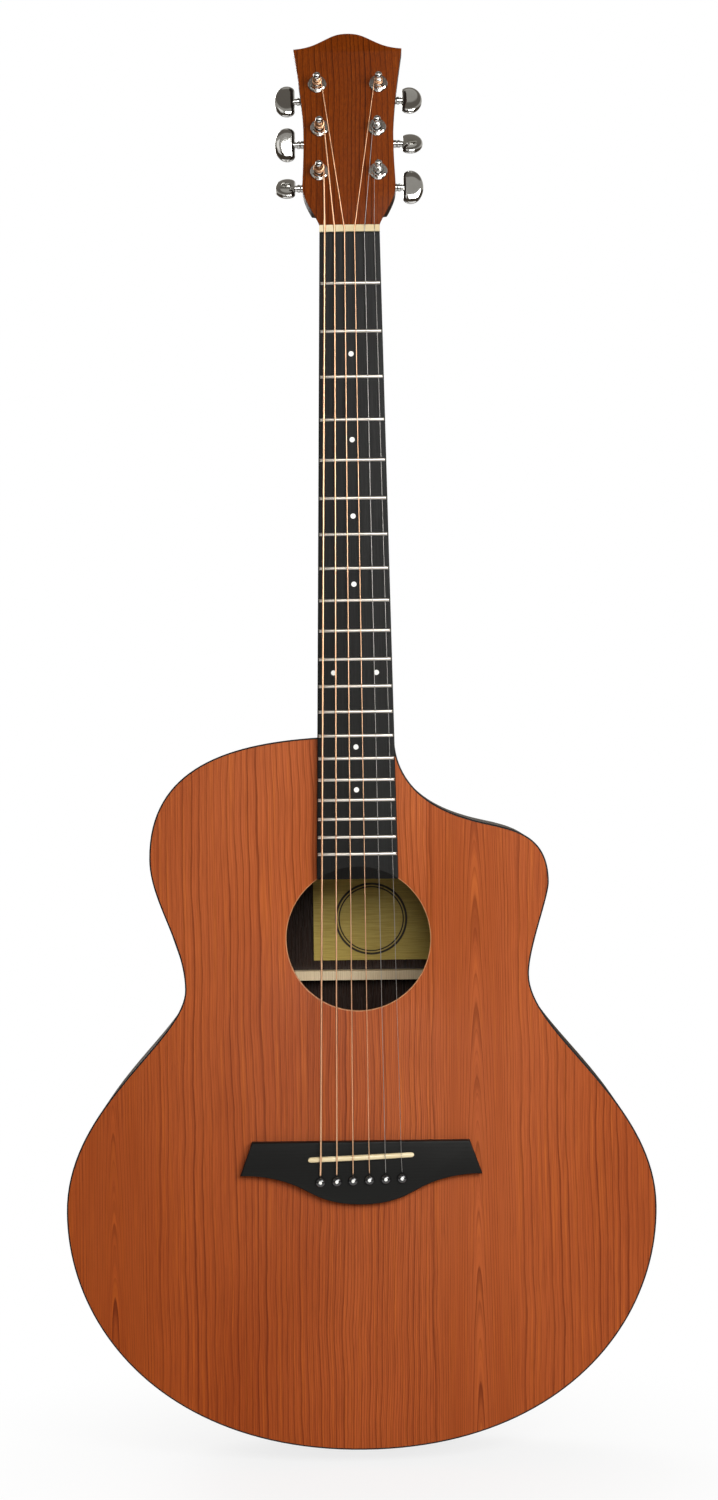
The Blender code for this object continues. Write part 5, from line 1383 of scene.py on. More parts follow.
@dataclass
class Neck:
    """Neck shaft and heel, and the headstock with its veneer."""

    plan: GuitarPlan
    bench: Bench
    depth_at_nut: float = 0.0147
    depth_growth: float = 0.0012
    depth_at_heel: float = 0.0170
    heel_length: float = 0.046
    heel_foot: float = 0.009
    heel_depth: float = 0.080
    heel_fullness: float = 0.75
    foot_half_width: float = 0.02175
    tongue_length: float = 0.020
    tongue_inset: float = 0.0005
    shoulder: Pair = (0.0336, 0.030)
    waist: Pair = (0.0325, 0.068)
    corner: Pair = (0.0394, 0.1372)
    inflection: Pair = (0.0176, 0.1439)
    head_length: float = 0.1492
    foot_slope: float = 0.012
    foot_rise: float = 0.0005
    stations: int = 40
    heel_steps: int = 16
    head_round: float = 0.0012
    veneer_round: float = 0.0004
    refine: int = 4

    def section(self, distance: float, half_width: float, depth: float, roundness: float) -> list[Vector]:
        """A D-shaped section of the neck, flat towards the strings.

        Args:
            distance: Place below the nut.
            half_width: Half its width.
            depth: Its depth behind the soundboard's face.
            roundness: 1 for half an ellipse, less for a squarer form.

        Returns:
            Its points from the treble side round the back to the bass side.
        """
        ring = []
        for step in range(self.stations + 1):
            angle = math.pi * step / self.stations
            across = math.copysign(abs(math.cos(angle)) ** roundness, math.cos(angle))
            ring.append(below(half_width * across, distance, depth * math.sin(angle) ** roundness))
        ring[0].y = 0
        ring[-1].y = 0
        return ring

    def heel_rings(self) -> list[list[Vector]]:
        """Sections where the neck deepens into the heel along a quarter circle.

        Returns:
            The sections down to the heel's foot.
        """
        plan = self.plan
        start = plan.body_top - self.heel_foot - self.heel_length
        rings = []
        for step in range(self.heel_steps + 1):
            share = math.sin(math.pi / 2 * step / self.heel_steps)
            distance = start + self.heel_length * share
            swell = 1 - math.sqrt(max(0.0, 1 - share * share))
            depth = self.depth_at_heel + (self.heel_depth - self.depth_at_heel) * swell
            roundness = 1 + (self.heel_fullness - 1) * swell
            rings.append(self.section(distance, plan.board_half_width(distance), depth, roundness))
        half = plan.board_half_width(plan.body_top)
        rings.append(self.section(plan.body_top, half, self.heel_depth, self.heel_fullness))
        return rings

    def head_outline(self) -> list[Pair]:
        """The headstock's outline as (x, distance up it), from the nut round its crown.

        Returns:
            The points from the treble foot to the bass foot.
        """

        def run(start: Vector, out: Vector, into: Vector, end: Vector, steps: int) -> list[Vector]:
            """Points along one curve without its last."""
            return interpolate_bezier(start, start + out, end - into, end, steps * self.refine + 1)[:-1]

        foot = Vector((self.foot_half_width, self.foot_rise, 0))
        shoulder, waist, corner, bend = (
            Vector((*place, 0)) for place in (self.shoulder, self.waist, self.corner, self.inflection)
        )
        top = Vector((0, self.head_length, 0))
        slope = Vector((-0.89, 0.455, 0)) * 0.006
        points = run(foot, Vector((0, 0.004, 0)), Vector((0, 0.010, 0)), shoulder, 6)
        points += run(shoulder, Vector((0, 0.010, 0)), Vector((0, 0.022, 0)), waist, 5)
        points += run(waist, Vector((0, 0.022, 0)), Vector((0.0032, 0.022, 0)), corner, 6)
        points += run(corner, Vector((-0.011, 0.0008, 0)), slope, bend, 5)
        points += run(bend, slope, Vector((-0.0085, 0, 0)), top, 5)
        points.append(top)
        mirrored = [Vector((-p.x, p.y, 0)) for p in reversed(points[:-1])]
        return [(p.x, p.y) for p in points + mirrored]

    def build(self) -> None:
        """Makes the neck and the headstock's veneer, and dresses what is set in them."""
        outline = self.head_outline()
        shape = Shape()
        shape.skin(self.shaft_rings())
        shape.join(self.head_block(outline))
        shape.close()
        face = self.plan.head_frame.col[2].to_3d()
        self.bench.mount("neck_shaft", shape, ("neck_wood",), nodes=["neck"], slot="neck_wood", flat=[face])
        veneer = self.head_veneer(outline)
        nodes = ["headstock_overlay"]
        self.bench.mount("head_face", veneer, ("head_veneer",), nodes=nodes, slot="head_veneer", flat=[face])
        self.bench.dress("steel", "truss_rod")
        self.bench.dress("cream_bone", "nut")

    def shaft_rings(self) -> list[list[Vector]]:
        """Sections from the tongue inside the headstock down the neck to the heel's foot.

        Returns:
            The sections in order.
        """
        plan = self.plan
        tongue = []
        for point in self.section(0, self.foot_half_width - self.tongue_inset, 1, 0.6):
            rise = -self.tongue_inset - point.y * (plan.head_thickness - 2 * self.tongue_inset)
            tongue.append(plan.head_frame @ Vector((point.x, self.tongue_length, rise)))
        half_at_nut = plan.board_half_width(0)
        fifth = plan.fret_place(5)
        return [
            tongue,
            self.section(-plan.nut_thickness, half_at_nut, self.depth_at_nut, 1),
            self.section(0, half_at_nut, self.depth_at_nut, 1),
            self.section(fifth, plan.board_half_width(fifth), self.depth_at_nut + self.depth_growth, 1),
            *self.heel_rings(),
        ]

    def head_block(self, outline: Sequence[Pair]) -> Shape:
        """The headstock's wood, its rear edges rounded.

        Args:
            outline: The headstock's outline.

        Returns:
            The closed shape in its place.
        """
        plan = self.plan
        head = Shape()
        rear = [Vector((x, max(up, self.foot_slope), -plan.head_thickness)) for x, up in outline]
        head.skin([rear, [Vector((x, up, 0)) for x, up in outline]])
        head.close()
        low = -plan.head_thickness + HAIR

        def at_rear(edge: Edge) -> bool:
            """Whether an edge is a sharp one of the rear face."""
            return all(vert.co.z < low for vert in edge.verts) and edge.calc_face_angle(0) > 0.8

        head.round_edges(at_rear, self.head_round)
        bmesh.ops.transform(head.bm, matrix=plan.head_frame, verts=head.bm.verts)
        return head

    def head_veneer(self, outline: Sequence[Pair]) -> Shape:
        """The veneer on the headstock's face, its front edge eased.

        Args:
            outline: The headstock's outline.

        Returns:
            The closed shape in its place.
        """
        plan = self.plan
        veneer = Shape()
        levels = (plan.cut_gap, plan.overlay_face)
        veneer.skin([[Vector((x, up, rise)) for x, up in outline] for rise in levels])
        veneer.close()
        high = plan.overlay_face - HAIR
        veneer.round_edges(lambda edge: all(v.co.z > high for v in edge.verts), self.veneer_round, 2)
        bmesh.ops.transform(veneer.bm, matrix=plan.head_frame, verts=veneer.bm.verts)
        return veneer


@dataclass
class Fingerboard:
    """The cambered fingerboard with its frets and position dots."""

    plan: GuitarPlan
    bench: Bench
    end_gap: float = 0.0004
    fret_width: float = 0.0024
    fret_inset: float = 0.0007
    fret_ends: tuple[Pair, ...] = ((1, 0.25), (0.985, 0.8), (0.96, 1), (0.5, 1))
    fret_foot: float = -0.25
    dot_radius: float = 0.0020
    dot_rise: float = 0.00003
    dot_rim_share: float = 0.9
    dot_depth: float = 0.0003
    single_dots: tuple[int, ...] = (3, 5, 7, 9, 15, 17)
    double_dot: int = 12
    double_offset: float = 0.0153
    end_round: float = 0.0005
    end_half_width: float = 0.028
    rings_at: tuple[float, ...] = (0, 0.15, 0.30, 0.44)
    stations: int = 16

    def end_place(self, x: float) -> float:
        """Distance of the board's curved end below the nut at x."""
        reach = self.plan.soundhole_radius + self.end_gap
        return self.plan.soundhole - math.sqrt(reach * reach - x * x)

    def ring(self, distance: Callable[[float], float], half: float) -> list[Vector]:
        """A section of the board.

        Args:
            distance: Its distance below the nut at each x.
            half: Half the board's width.

        Returns:
            The section's points.
        """
        shares = [step / self.stations for step in range(-self.stations, self.stations + 1)]
        places = [half * share for share in shares]
        top = [below(x, distance(x), -self.plan.board_crown(x)) for x in places]
        return [below(half, distance(half), 0), below(-half, distance(half), 0), *top]

    def build(self) -> None:
        """Makes the board, the frets and the dots."""
        plan = self.plan
        shape = Shape()
        rings = [self.ring(lambda x, d=d: d, plan.board_half_width(d)) for d in self.rings_at]
        end_half = plan.board_half_width(self.end_place(self.end_half_width))
        rings.append(self.ring(self.end_place, end_half))
        shape.skin(rings)
        shape.close()

        def at_side(edge: Edge) -> bool:
            """Whether an edge runs along the board's upper side edges or round its end."""
            raised = all(vert.co.y < -plan.board_thickness * 0.7 for vert in edge.verts)
            return raised and edge.calc_face_angle(0) > 0.9 and max(v.co.z for v in edge.verts) < -0.001

        shape.round_edges(at_side, self.end_round, 3)
        self.bench.mount("board", shape, ("black_wood",), nodes=["fingerboard"], slot="black_wood")
        self.make_frets()
        self.make_dots()

    def make_frets(self) -> None:
        """Twenty half-round frets following the camber, their ends rounded off."""
        plan = self.plan
        shape = Shape()
        for number in range(1, plan.fret_count + 1):
            place = plan.fret_place(number)
            half = plan.board_half_width(place) - self.fret_inset
            rings = []
            left = [(-share, size) for share, size in self.fret_ends]
            for share, size in (*left, (0, 1), *reversed(self.fret_ends)):
                x = half * share
                crown = plan.board_crown(x)
                ring = []
                for step in range(-1, 10):
                    angle = math.pi * step / 8
                    rise = plan.fret_height * size * max(math.sin(angle), self.fret_foot)
                    ring.append(below(x, place - self.fret_width / 2 * math.cos(angle), -crown - rise))
                rings.append(ring)
            shape.skin(rings)
        shape.close()
        self.bench.mount("frets", shape, ("fret_metal",), slot="steel")

    def make_dots(self) -> None:
        """Round position marks between the frets, each with a thin darker rim."""
        plan = self.plan
        spots = [(0.0, number) for number in self.single_dots]
        spots += [(self.double_offset * side, self.double_dot) for side in (-1, 1)]
        shape = Shape()
        for x, number in spots:
            place = (plan.fret_place(number - 1) + plan.fret_place(number)) / 2
            frame = Matrix.Translation(below(x, place, -plan.board_crown(x))) @ FACING
            for share, layer, slot in ((1.0, 1, 1), (self.dot_rim_share, 2, 0)):
                radius = self.dot_radius * share
                rise = self.dot_rise * layer
                before = set(shape.bm.faces)
                profile = [(0, rise), (radius * 0.7, rise), (radius, rise * 0.7), (radius, -self.dot_depth)]
                shape.turn(profile, frame, 32)
                shape.mark(before, slot)
        shape.close()
        self.bench.mount("position_dots", shape, ("white_inlay", "inlay_rim"))


@dataclass
class Bridge:
    """The pin bridge with its saddle and six pins."""

    plan: GuitarPlan
    bench: Bench
    thickness: float = 0.0076
    top_half_width: float = 0.0781
    tip_half_width: float = 0.0869
    above_saddle: float = 0.0112
    tip_below_saddle: float = 0.0127
    belly_below_saddle: float = 0.0340
    edge_round: float = 0.0012
    saddle_thickness: float = 0.0036
    saddle_floor: float = 0.0034
    crest_drop: float = 0.0008
    pin_head_radius: float = 0.0037
    pin_head_height: float = 0.0030
    pin_shank_radius: float = 0.0026
    pin_tip_radius: float = 0.0023
    pin_length: float = 0.0225
    pin_dot_radius: float = 0.00115
    pin_collar: float = 0.0004
    pin_taper: float = 0.002
    crest_steps: int = 12
    refine: int = 4

    def outline(self) -> list[Pair]:
        """The bridge's outline as (x, distance below the nut): straight above, a belly below.

        Returns:
            The points from the bass tip round the belly.
        """
        saddle = self.plan.saddle
        tip = Vector((-self.tip_half_width, saddle + self.tip_below_saddle, 0))
        belly = Vector((0, saddle + self.belly_below_saddle, 0))
        middle = tip.lerp(belly, 0.5) + Vector((0.0028, 0, 0))
        slope = Vector((0.88, 0.475, 0)) * 0.011
        steps = 6 * self.refine + 1
        half = interpolate_bezier(tip, tip + Vector((0.022, 0, 0)), middle - slope, middle, steps)[:-1]
        half += interpolate_bezier(middle, middle + slope, belly - Vector((0.021, 0, 0)), belly, steps)
        points = [(p.x, p.y) for p in half]
        points += [(-p.x, p.y) for p in reversed(half[:-1])]
        top = saddle - self.above_saddle
        return points + [(self.top_half_width, top), (-self.top_half_width, top)]

    def build(self) -> None:
        """Makes the bridge, saddle and pins."""
        shape = Shape()
        outline = self.outline()
        shape.skin([[below(x, place, depth) for x, place in outline] for depth in (0, -self.thickness)])
        shape.close()
        face = -self.thickness + HAIR
        shape.round_edges(lambda edge: all(v.co.y < face for v in edge.verts), self.edge_round, 4)
        self.bench.mount("bridge_body", shape, ("bridge_wood",), nodes=["bridge"], slot="black_wood")
        self.make_saddle()
        for index in range(len(STRING_NAMES)):
            self.make_pin(index)
        self.bench.dress("steel", "saddle_pickup")

    def make_saddle(self) -> None:
        """The slanted saddle, its crest rounded and following the strings."""
        plan = self.plan
        shape = Shape()
        rings = []
        ends = ((-1, 0.35), (-0.99, 0.7), (-0.975, 0.88), (-0.95, 1))
        middles = tuple((step / 10, 1.0) for step in range(-9, 10))
        for share, narrow in (*ends, *middles, *((-a, b) for a, b in reversed(ends))):
            x = share * plan.saddle_length / 2
            reach = self.saddle_thickness / 2 * narrow
            index = (x / plan.saddle_spread + 0.5) * (len(STRING_NAMES) - 1)
            crest = plan.underside_at_saddle(x, plan.action(index)) - plan.cut_gap
            place = plan.saddle_place(x)
            ring = [below(x, place - reach, -self.saddle_floor)]
            for step in range(self.crest_steps + 1):
                angle = math.pi * step / self.crest_steps
                drop = self.crest_drop * 1.6 * (1 - math.sin(angle))
                ring.append(below(x, place - reach * math.cos(angle), drop - crest))
            ring.append(below(x, place + reach, -self.saddle_floor))
            rings.append(ring)
        shape.skin(rings)
        shape.close()
        self.bench.mount("saddle_bone", shape, ("cream_bone",), nodes=["saddle"], slot="cream_bone")

    def make_pin(self, index: int) -> None:
        """A bridge pin with a domed head and a white dot.

        Args:
            index: The string's number from the bass side.
        """
        seat = self.thickness + self.plan.cut_gap
        radius, height = self.pin_head_radius, self.pin_head_height
        profile = [
            (0, seat - self.pin_length),
            (self.pin_tip_radius * 0.6, seat - self.pin_length),
            (self.pin_tip_radius, seat - self.pin_length + self.pin_taper),
            (self.pin_shank_radius, seat),
            (radius * 0.93, seat),
            (radius, seat + self.pin_collar),
        ]
        for degrees in range(8, 91, 9):
            angle = math.radians(degrees)
            rise = self.pin_collar + (height - self.pin_collar) * math.sin(angle)
            profile.append((radius * math.cos(angle), seat + rise))
        profile[-1] = (0, seat + height)
        x, place = self.plan.pin_centre(index)
        frame = Matrix.Translation(below(x, place, 0)) @ FACING
        shape = Shape()
        shape.turn(profile, frame, 32)
        before = set(shape.bm.faces)
        top = seat + height
        dot = self.pin_dot_radius
        dome = [(0, top + 0.00012), (dot * 0.6, top + 0.0001), (dot, top - 0.0001), (dot, top - 0.0008)]
        shape.turn(dome, frame, 24)
        shape.mark(before, 1)
        shape.close()
        finishes = ("pin_plastic", "white_inlay")
        nodes = [f"bridge_pin_{index + 1}"]
        self.bench.mount(f"pin_{index + 1}", shape, finishes, nodes=nodes, slot="black_plastic")


@dataclass
class StringSet:
    """Six strings, each from its winding on the post to its ball under the bridge."""

    plan: GuitarPlan
    bench: Bench
    winding_turns: float = 2.5
    winding_gap: float = 0.0008
    tail: float = 0.0028
    post_neck_radius: float = 0.0023
    bushing_top: float = 0.0050
    ball_radius: float = 0.0016
    pin_head_radius: float = 0.0037
    bridge_thickness: float = 0.0076
    plate_rear: float = 0.0055
    points_per_turn: int = 26

    def nut_bend(self, index: int) -> Vector:
        """Where a string's centre bends over the nut, in the headstock's frame.

        Args:
            index: The string's number from the bass side.

        Returns:
            The point.
        """
        plan = self.plan
        x = plan.spread(plan.nut_spread, index)
        height = plan.underside_at_nut(x) + plan.gauges[index] / 2
        return plan.head_frame.inverted() @ Vector((x, -height, plan.nut_thickness * 0.3))

    def winding(self, index: int) -> list[Vector]:
        """Lays a string's winding round its post, in the headstock's frame.

        Args:
            index: The string's number from the bass side.

        Returns:
            Its points from the cut end.
        """
        plan = self.plan
        radius = plan.gauges[index] / 2
        side, x, up = plan.post_centre(index)
        coil = self.post_neck_radius + plan.cut_gap + radius
        start = self.nut_bend(index)
        to_post = Vector((x - start.x, up - start.y))
        swing = -side * math.asin(coil / to_post.length)
        heading = math.atan2(to_post.y, to_post.x) - swing
        first = heading + side * math.pi / 2
        bottom = self.bushing_top + 2 * plan.cut_gap + radius
        pitch = 2 * radius + self.winding_gap
        points = []
        for step in range(int(self.winding_turns * self.points_per_turn) + 1):
            turned = step / self.points_per_turn
            angle = first - side * math.tau * turned
            place = (x + coil * math.cos(angle), up + coil * math.sin(angle), bottom + pitch * turned)
            points.append(Vector(place))
        leaving = (points[-1] - points[-2]).normalized()
        points.append(points[-1] + leaving * self.tail)
        return list(reversed(points))

    def path(self, index: int) -> tuple[list[Vector], list[float]]:
        """Lays a string from its cut end to its ball.

        Args:
            index: The string's number from the bass side.

        Returns:
            Its points, and its thickness at each as a share of the gauge.
        """
        plan = self.plan
        radius = plan.gauges[index] / 2
        over_head = [plan.head_frame @ point for point in [*self.winding(index), self.nut_bend(index)]]
        saddle_x = plan.spread(plan.saddle_spread, index)
        crest = plan.underside_at_saddle(saddle_x, plan.action(index)) + radius
        pin_x, pin_place = plan.pin_centre(index)
        down = pin_place - (self.pin_head_radius + plan.joint_gap + radius)
        corner = below(pin_x, down, -self.bridge_thickness - 0.0008 - radius)
        ridge = below(saddle_x, plan.saddle_place(saddle_x), -crest)
        back_up = (ridge - corner).normalized()
        depth = Vector((0, 1, 0))
        points = [
            *over_head,
            ridge,
            corner + back_up * 0.0016,
            corner + back_up * 0.0008 + depth * 0.0001,
            corner + (back_up + depth) * 0.0004,
            corner + back_up * 0.0001 + depth * 0.0008,
            corner + depth * 0.0016,
        ]
        shares = [1.0] * len(points)
        ball = self.ball_radius
        centre = self.plate_rear + plan.cut_gap + ball
        for step in range(-8, 8):
            offset = step / 8
            points.append(below(pin_x, down, centre + offset * ball))
            shares.append(max(1.0, math.sqrt(1 - offset * offset) * ball / radius))
        return points, shares

    def build(self) -> None:
        """Makes the six strings."""
        for index, name in enumerate(STRING_NAMES):
            points, shares = self.path(index)
            curve = bpy.data.curves.new(f"{name}_path", "CURVE")
            curve.dimensions = "3D"
            curve.bevel_depth = self.plan.gauges[index] / 2
            curve.bevel_resolution = 3
            curve.use_fill_caps = True
            spline = curve.splines.new("POLY")
            spline.points.add(len(points) - 1)
            for made, point, share in zip(spline.points, points, shares):
                made.co = (*point, 1)
                made.radius = share
            tube = bpy.data.objects.new(f"{name}_path", curve)
            shape = Shape()
            shape.bm.from_mesh(bpy.data.meshes.new_from_object(tube))
            bpy.data.objects.remove(tube)
            shape.close()
            wound = index < self.plan.wound_strings
            finish, slot = ("bronze_wrap", "bronze_winding") if wound else ("steel", "steel")
            nodes = [f"string_{name}"]
            self.bench.mount(f"{name}_line", shape, (finish,), nodes=nodes, slot=slot, crease=60)


@dataclass
class Tuner:
    """One sealed machine head: its housing, its string post and its key."""

    plan: GuitarPlan
    bench: Bench
    index: int
    button_turn: float
    housing_wall: float = 0.0020
    housing_depth: float = 0.0100
    top_wall: float = 0.0030
    inner_reach: float = 0.0070
    outer_reach: float = 0.0085
    gear_teeth: int = 14
    gear_tip: float = 0.00305
    tooth_height: float = 0.0008
    gear_thickness: float = 0.0030
    worm_tip: float = 0.00175
    worm_tooth: float = 0.00085
    worm_lead: float = 0.0012
    worm_turns: int = 3
    worm_sides: int = 24
    worm_steps: int = 12
    gear_distance: float = 0.0043
    sleeve_radius: float = 0.0049
    washer_radius: float = 0.00665
    washer_thickness: float = 0.0008
    bushing_radius: float = 0.0057
    bushing_height: float = 0.0024
    post_radius: float = 0.00305
    post_neck: float = 0.0023
    post_ball: float = 0.00275
    post_height: float = 0.0170
    stub_radius: float = 0.0012
    stub_length: float = 0.0016
    shaft_radius: float = 0.0016
    collar_radius: float = 0.0028
    key_neck_radius: float = 0.0022
    key_neck_length: float = 0.0014
    button_face: float = 0.0390
    button_width: float = 0.0150
    button_length: float = 0.0250
    button_straight: float = 0.66
    button_crown: float = 0.38
    button_squareness: float = 0.45
    button_thickness: float = 0.0062
    button_layers: int = 9
    button_rim_angle: float = math.radians(87)
    case_round: float = 0.0016
    gear_ease: float = 0.0003
    hexagon_sides: int = 48

    def __post_init__(self) -> None:
        """Works out the frames of the post and the key."""
        plan = self.plan
        self.side, self.x, self.up = plan.post_centre(self.index)
        self.number = self.index + 1
        self.frame = plan.head_frame @ Matrix.Translation((self.x, self.up, 0))
        self.case_front = -plan.head_thickness - plan.cut_gap
        self.gear_top = self.case_front - self.top_wall - plan.cut_gap
        level = self.gear_top - self.gear_thickness / 2
        turn = Matrix.Rotation(0 if self.side > 0 else math.pi, 4, "Y")
        place = Matrix.Translation((self.x, self.up - self.gear_distance, level))
        self.key_frame = plan.head_frame @ place @ turn
        self.washer_seat = plan.overlay_face + plan.cut_gap
        self.bushing_top = self.washer_seat + self.washer_thickness + self.bushing_height

    def build(self) -> None:
        """Makes the housing, the post and the key."""
        self.make_housing()
        self.make_post()
        self.make_key()

    def make_housing(self) -> None:
        """The case behind the headstock, the sleeve through it, and washer and hexagon in front."""
        gap = self.plan.cut_gap
        low = -self.gear_distance - self.worm_tip - gap - self.housing_wall
        high = self.gear_tip + self.housing_wall
        inner, outer = sorted((-self.side * self.inner_reach, self.side * self.outer_reach))
        shape = Shape()
        rear = self.case_front - self.housing_depth
        shape.block((inner, low, rear), (outer, high, self.case_front), self.frame, self.case_round, 4)
        washer = self.washer_seat
        rim = self.washer_radius
        shape.turn(
            [
                (self.sleeve_radius, self.case_front - 0.001),
                (self.sleeve_radius, washer),
                (rim - 0.0002, washer),
                (rim, washer + 0.0002),
                (rim, washer + 0.0005),
                (rim - 0.0003, washer + self.washer_thickness),
                (self.sleeve_radius, washer + self.washer_thickness),
                (self.post_radius + gap, washer + self.washer_thickness),
                (self.post_radius + gap, self.case_front - 0.001),
            ],
            self.frame,
            48,
            closed=True,
        )
        self.add_hexagon(shape)
        name = f"machine_case_{self.number}"
        nodes = [f"tuner_housing_{self.number}"]
        self.bench.mount(name, shape, ("chrome",), nodes=nodes, slot="chrome", crease=30)

    def add_hexagon(self, shape: Shape) -> None:
        """The hexagonal nut on the washer, its upper edge turned down at the corners.

        Args:
            shape: The housing.
        """
        base = self.washer_seat + self.washer_thickness
        flat = self.bushing_radius * math.cos(math.pi / 6)

        def ring(height: float, limit: float, bore: float = 0.0) -> list[Vector]:
            """The hexagon cut by a circle, or the round bore.

            Args:
                height: Level of the ring.
                limit: Radius of the circle.
                bore: Radius of the bore, if it is one.

            Returns:
                The ring's points.
            """
            points = []
            for step in range(self.hexagon_sides):
                angle = math.tau * step / self.hexagon_sides
                from_flat = (angle + math.pi / 6) % (math.pi / 3) - math.pi / 6
                radius = bore or min(flat / math.cos(from_flat), limit)
                points.append(self.frame @ about_axis(radius, angle, height))
            return points

        corner = self.bushing_radius
        bore = self.post_radius + self.plan.cut_gap
        shape.skin(
            [
                ring(base, corner, bore),
                ring(base, corner),
                ring(self.bushing_top - 0.0007, corner),
                ring(self.bushing_top, flat * 0.96),
                ring(self.bushing_top, flat, bore + 0.0005),
                ring(self.bushing_top - 0.0005, flat, bore),
            ],
            ends=False,
        )
        rims = [edge for edge in shape.bm.edges if edge.is_boundary]
        bmesh.ops.bridge_loops(shape.bm, edges=rims)

    def make_post(self) -> None:
        """The string post with its gear at the inner end and a rounded top."""
        plan = self.plan
        top = plan.overlay_face + self.post_height
        waist = self.bushing_top + plan.cut_gap
        ball = self.post_ball
        gear_bottom = self.gear_top - self.gear_thickness
        neck = self.post_neck
        profile = [
            (0, gear_bottom - self.stub_length + plan.cut_gap),
            (self.stub_radius, gear_bottom - self.stub_length + plan.cut_gap),
            (self.stub_radius, gear_bottom + 0.0004),
            (self.gear_tip - self.tooth_height - 0.0001, self.gear_top - 0.0004),
            (self.gear_tip - self.tooth_height - 0.0001, self.gear_top + plan.cut_gap),
            (self.post_radius, self.gear_top + plan.cut_gap + 0.0006),
            (self.post_radius, waist - 0.0003),
            (self.post_radius - 0.0003, waist),
            (neck + 0.0001, waist + 0.0004),
            (neck, waist + 0.0008),
            (neck, top - 1.75 * ball),
            (neck + 0.0001, top - 1.6 * ball),
        ]
        for degrees in range(-30, 75, 12):
            angle = math.radians(degrees)
            profile.append((ball * math.cos(angle), top - ball * 0.86 + ball * 0.86 * math.sin(angle)))
        profile += [(ball * 0.2, top - 0.00002), (0, top)]
        shape = Shape()
        shape.turn(profile, self.frame, 48)
        ease = self.gear_ease
        rings = []
        for height, shrink in (
            (gear_bottom, ease),
            (gear_bottom + ease, 0),
            (self.gear_top - ease, 0),
            (self.gear_top, ease),
        ):
            ring = []
            for step in range(2 * self.gear_teeth):
                angle = -math.pi / 2 + math.pi * step / self.gear_teeth
                radius = self.gear_tip - shrink - (self.tooth_height if step % 2 == 0 else 0)
                ring.append(self.frame @ about_axis(radius, angle, height))
            rings.append(ring)
        shape.skin(rings)
        shape.close()
        name = f"string_post_{self.number}"
        node = f"tuner_post_{self.number}"
        self.bench.mount(name, shape, ("chrome",), f"post_{self.number}", [node], "chrome")

    def make_key(self) -> None:
        """The key: worm, shaft, collar and half-moon button turning as one."""
        shape = Shape()
        shape.skin(self.worm_rings())
        half_worm = self.worm_turns * self.worm_lead / 2
        outside = self.outer_reach + self.plan.cut_gap
        start = self.button_face - abs(self.x)
        profile = [
            (0, half_worm - 0.0006),
            ((self.worm_tip - self.worm_tooth) * 0.7, half_worm - 0.0006),
            (self.shaft_radius, half_worm + 0.0004),
            (self.shaft_radius, outside),
            (self.collar_radius - 0.0003, outside),
            (self.collar_radius, outside + 0.0003),
            (self.collar_radius, start - 0.0044),
            (self.collar_radius - 0.0003, start - 0.0041),
            (self.collar_radius - 0.0004, start - 0.0038),
            (self.collar_radius - 0.0003, start - 0.0035),
            (self.collar_radius, start - 0.0032),
            (self.collar_radius, start - 0.0018),
            (self.key_neck_radius, start - self.key_neck_length),
            (self.key_neck_radius, start + 0.0020),
            (0, start + 0.0020),
        ]
        shape.turn(profile, self.key_frame @ TO_X, 32)
        self.add_button(shape, start)
        shape.close()
        name = f"key_{self.number}_button"
        node = f"tuner_key_{self.number}"
        self.bench.mount(name, shape, ("chrome",), f"key_{self.number}", [node], "chrome", crease=30)

    def worm_rings(self) -> list[list[Vector]]:
        """Rings of the helical thread round the key's axis.

        Returns:
            The rings along the axis.
        """
        sides, per_turn = self.worm_sides, self.worm_steps
        stations = self.worm_turns * per_turn // 2
        rings = []
        for station in range(-stations, stations + 1):
            ring = []
            for step in range(sides):
                phase = (station / per_turn - step / sides) % 1
                fall = 2 * min(phase, 1 - phase)
                radius = self.worm_tip - self.worm_tooth * fall
                angle = math.tau * step / sides
                along = self.worm_lead * station / per_turn
                place = (along, radius * math.cos(angle), radius * math.sin(angle))
                ring.append(self.key_frame @ Vector(place))
            rings.append(ring)
        return rings

    def add_button(self, shape: Shape, start: float) -> None:
        """A half-moon in the key's plane, straight towards the headstock, its rim well rounded.

        Args:
            shape: The key.
            start: Where the button begins along the axis.
        """
        half = self.button_length / 2
        crown = self.button_width * self.button_crown
        outline = []
        for degrees in range(180, -181, -6):
            angle = math.radians(degrees)
            if abs(degrees) > 90:
                x = crown + crown * math.cos(angle)
                corner = half * (1 - self.button_straight) * math.sin(angle)
                y = math.copysign(half * self.button_straight, degrees) + corner
            else:
                x = crown + (self.button_width - crown) * math.cos(angle)
                y = half * math.sin(angle)
            outline.append((start + x, y))
        turn = self.key_frame @ Matrix.Rotation(math.radians(self.button_turn), 4, "X")
        middle = start + self.button_width / 2
        rings = []
        for step in range(-self.button_layers, self.button_layers + 1):
            angle = self.button_rim_angle * step / self.button_layers
            share = math.cos(angle) ** self.button_squareness
            rise = self.button_thickness / 2 * math.sin(angle)
            layer = [Vector((middle + (a - middle) * share, b * share, rise)) for a, b in outline]
            rings.append([turn @ point for point in layer])
        shape.skin(rings)


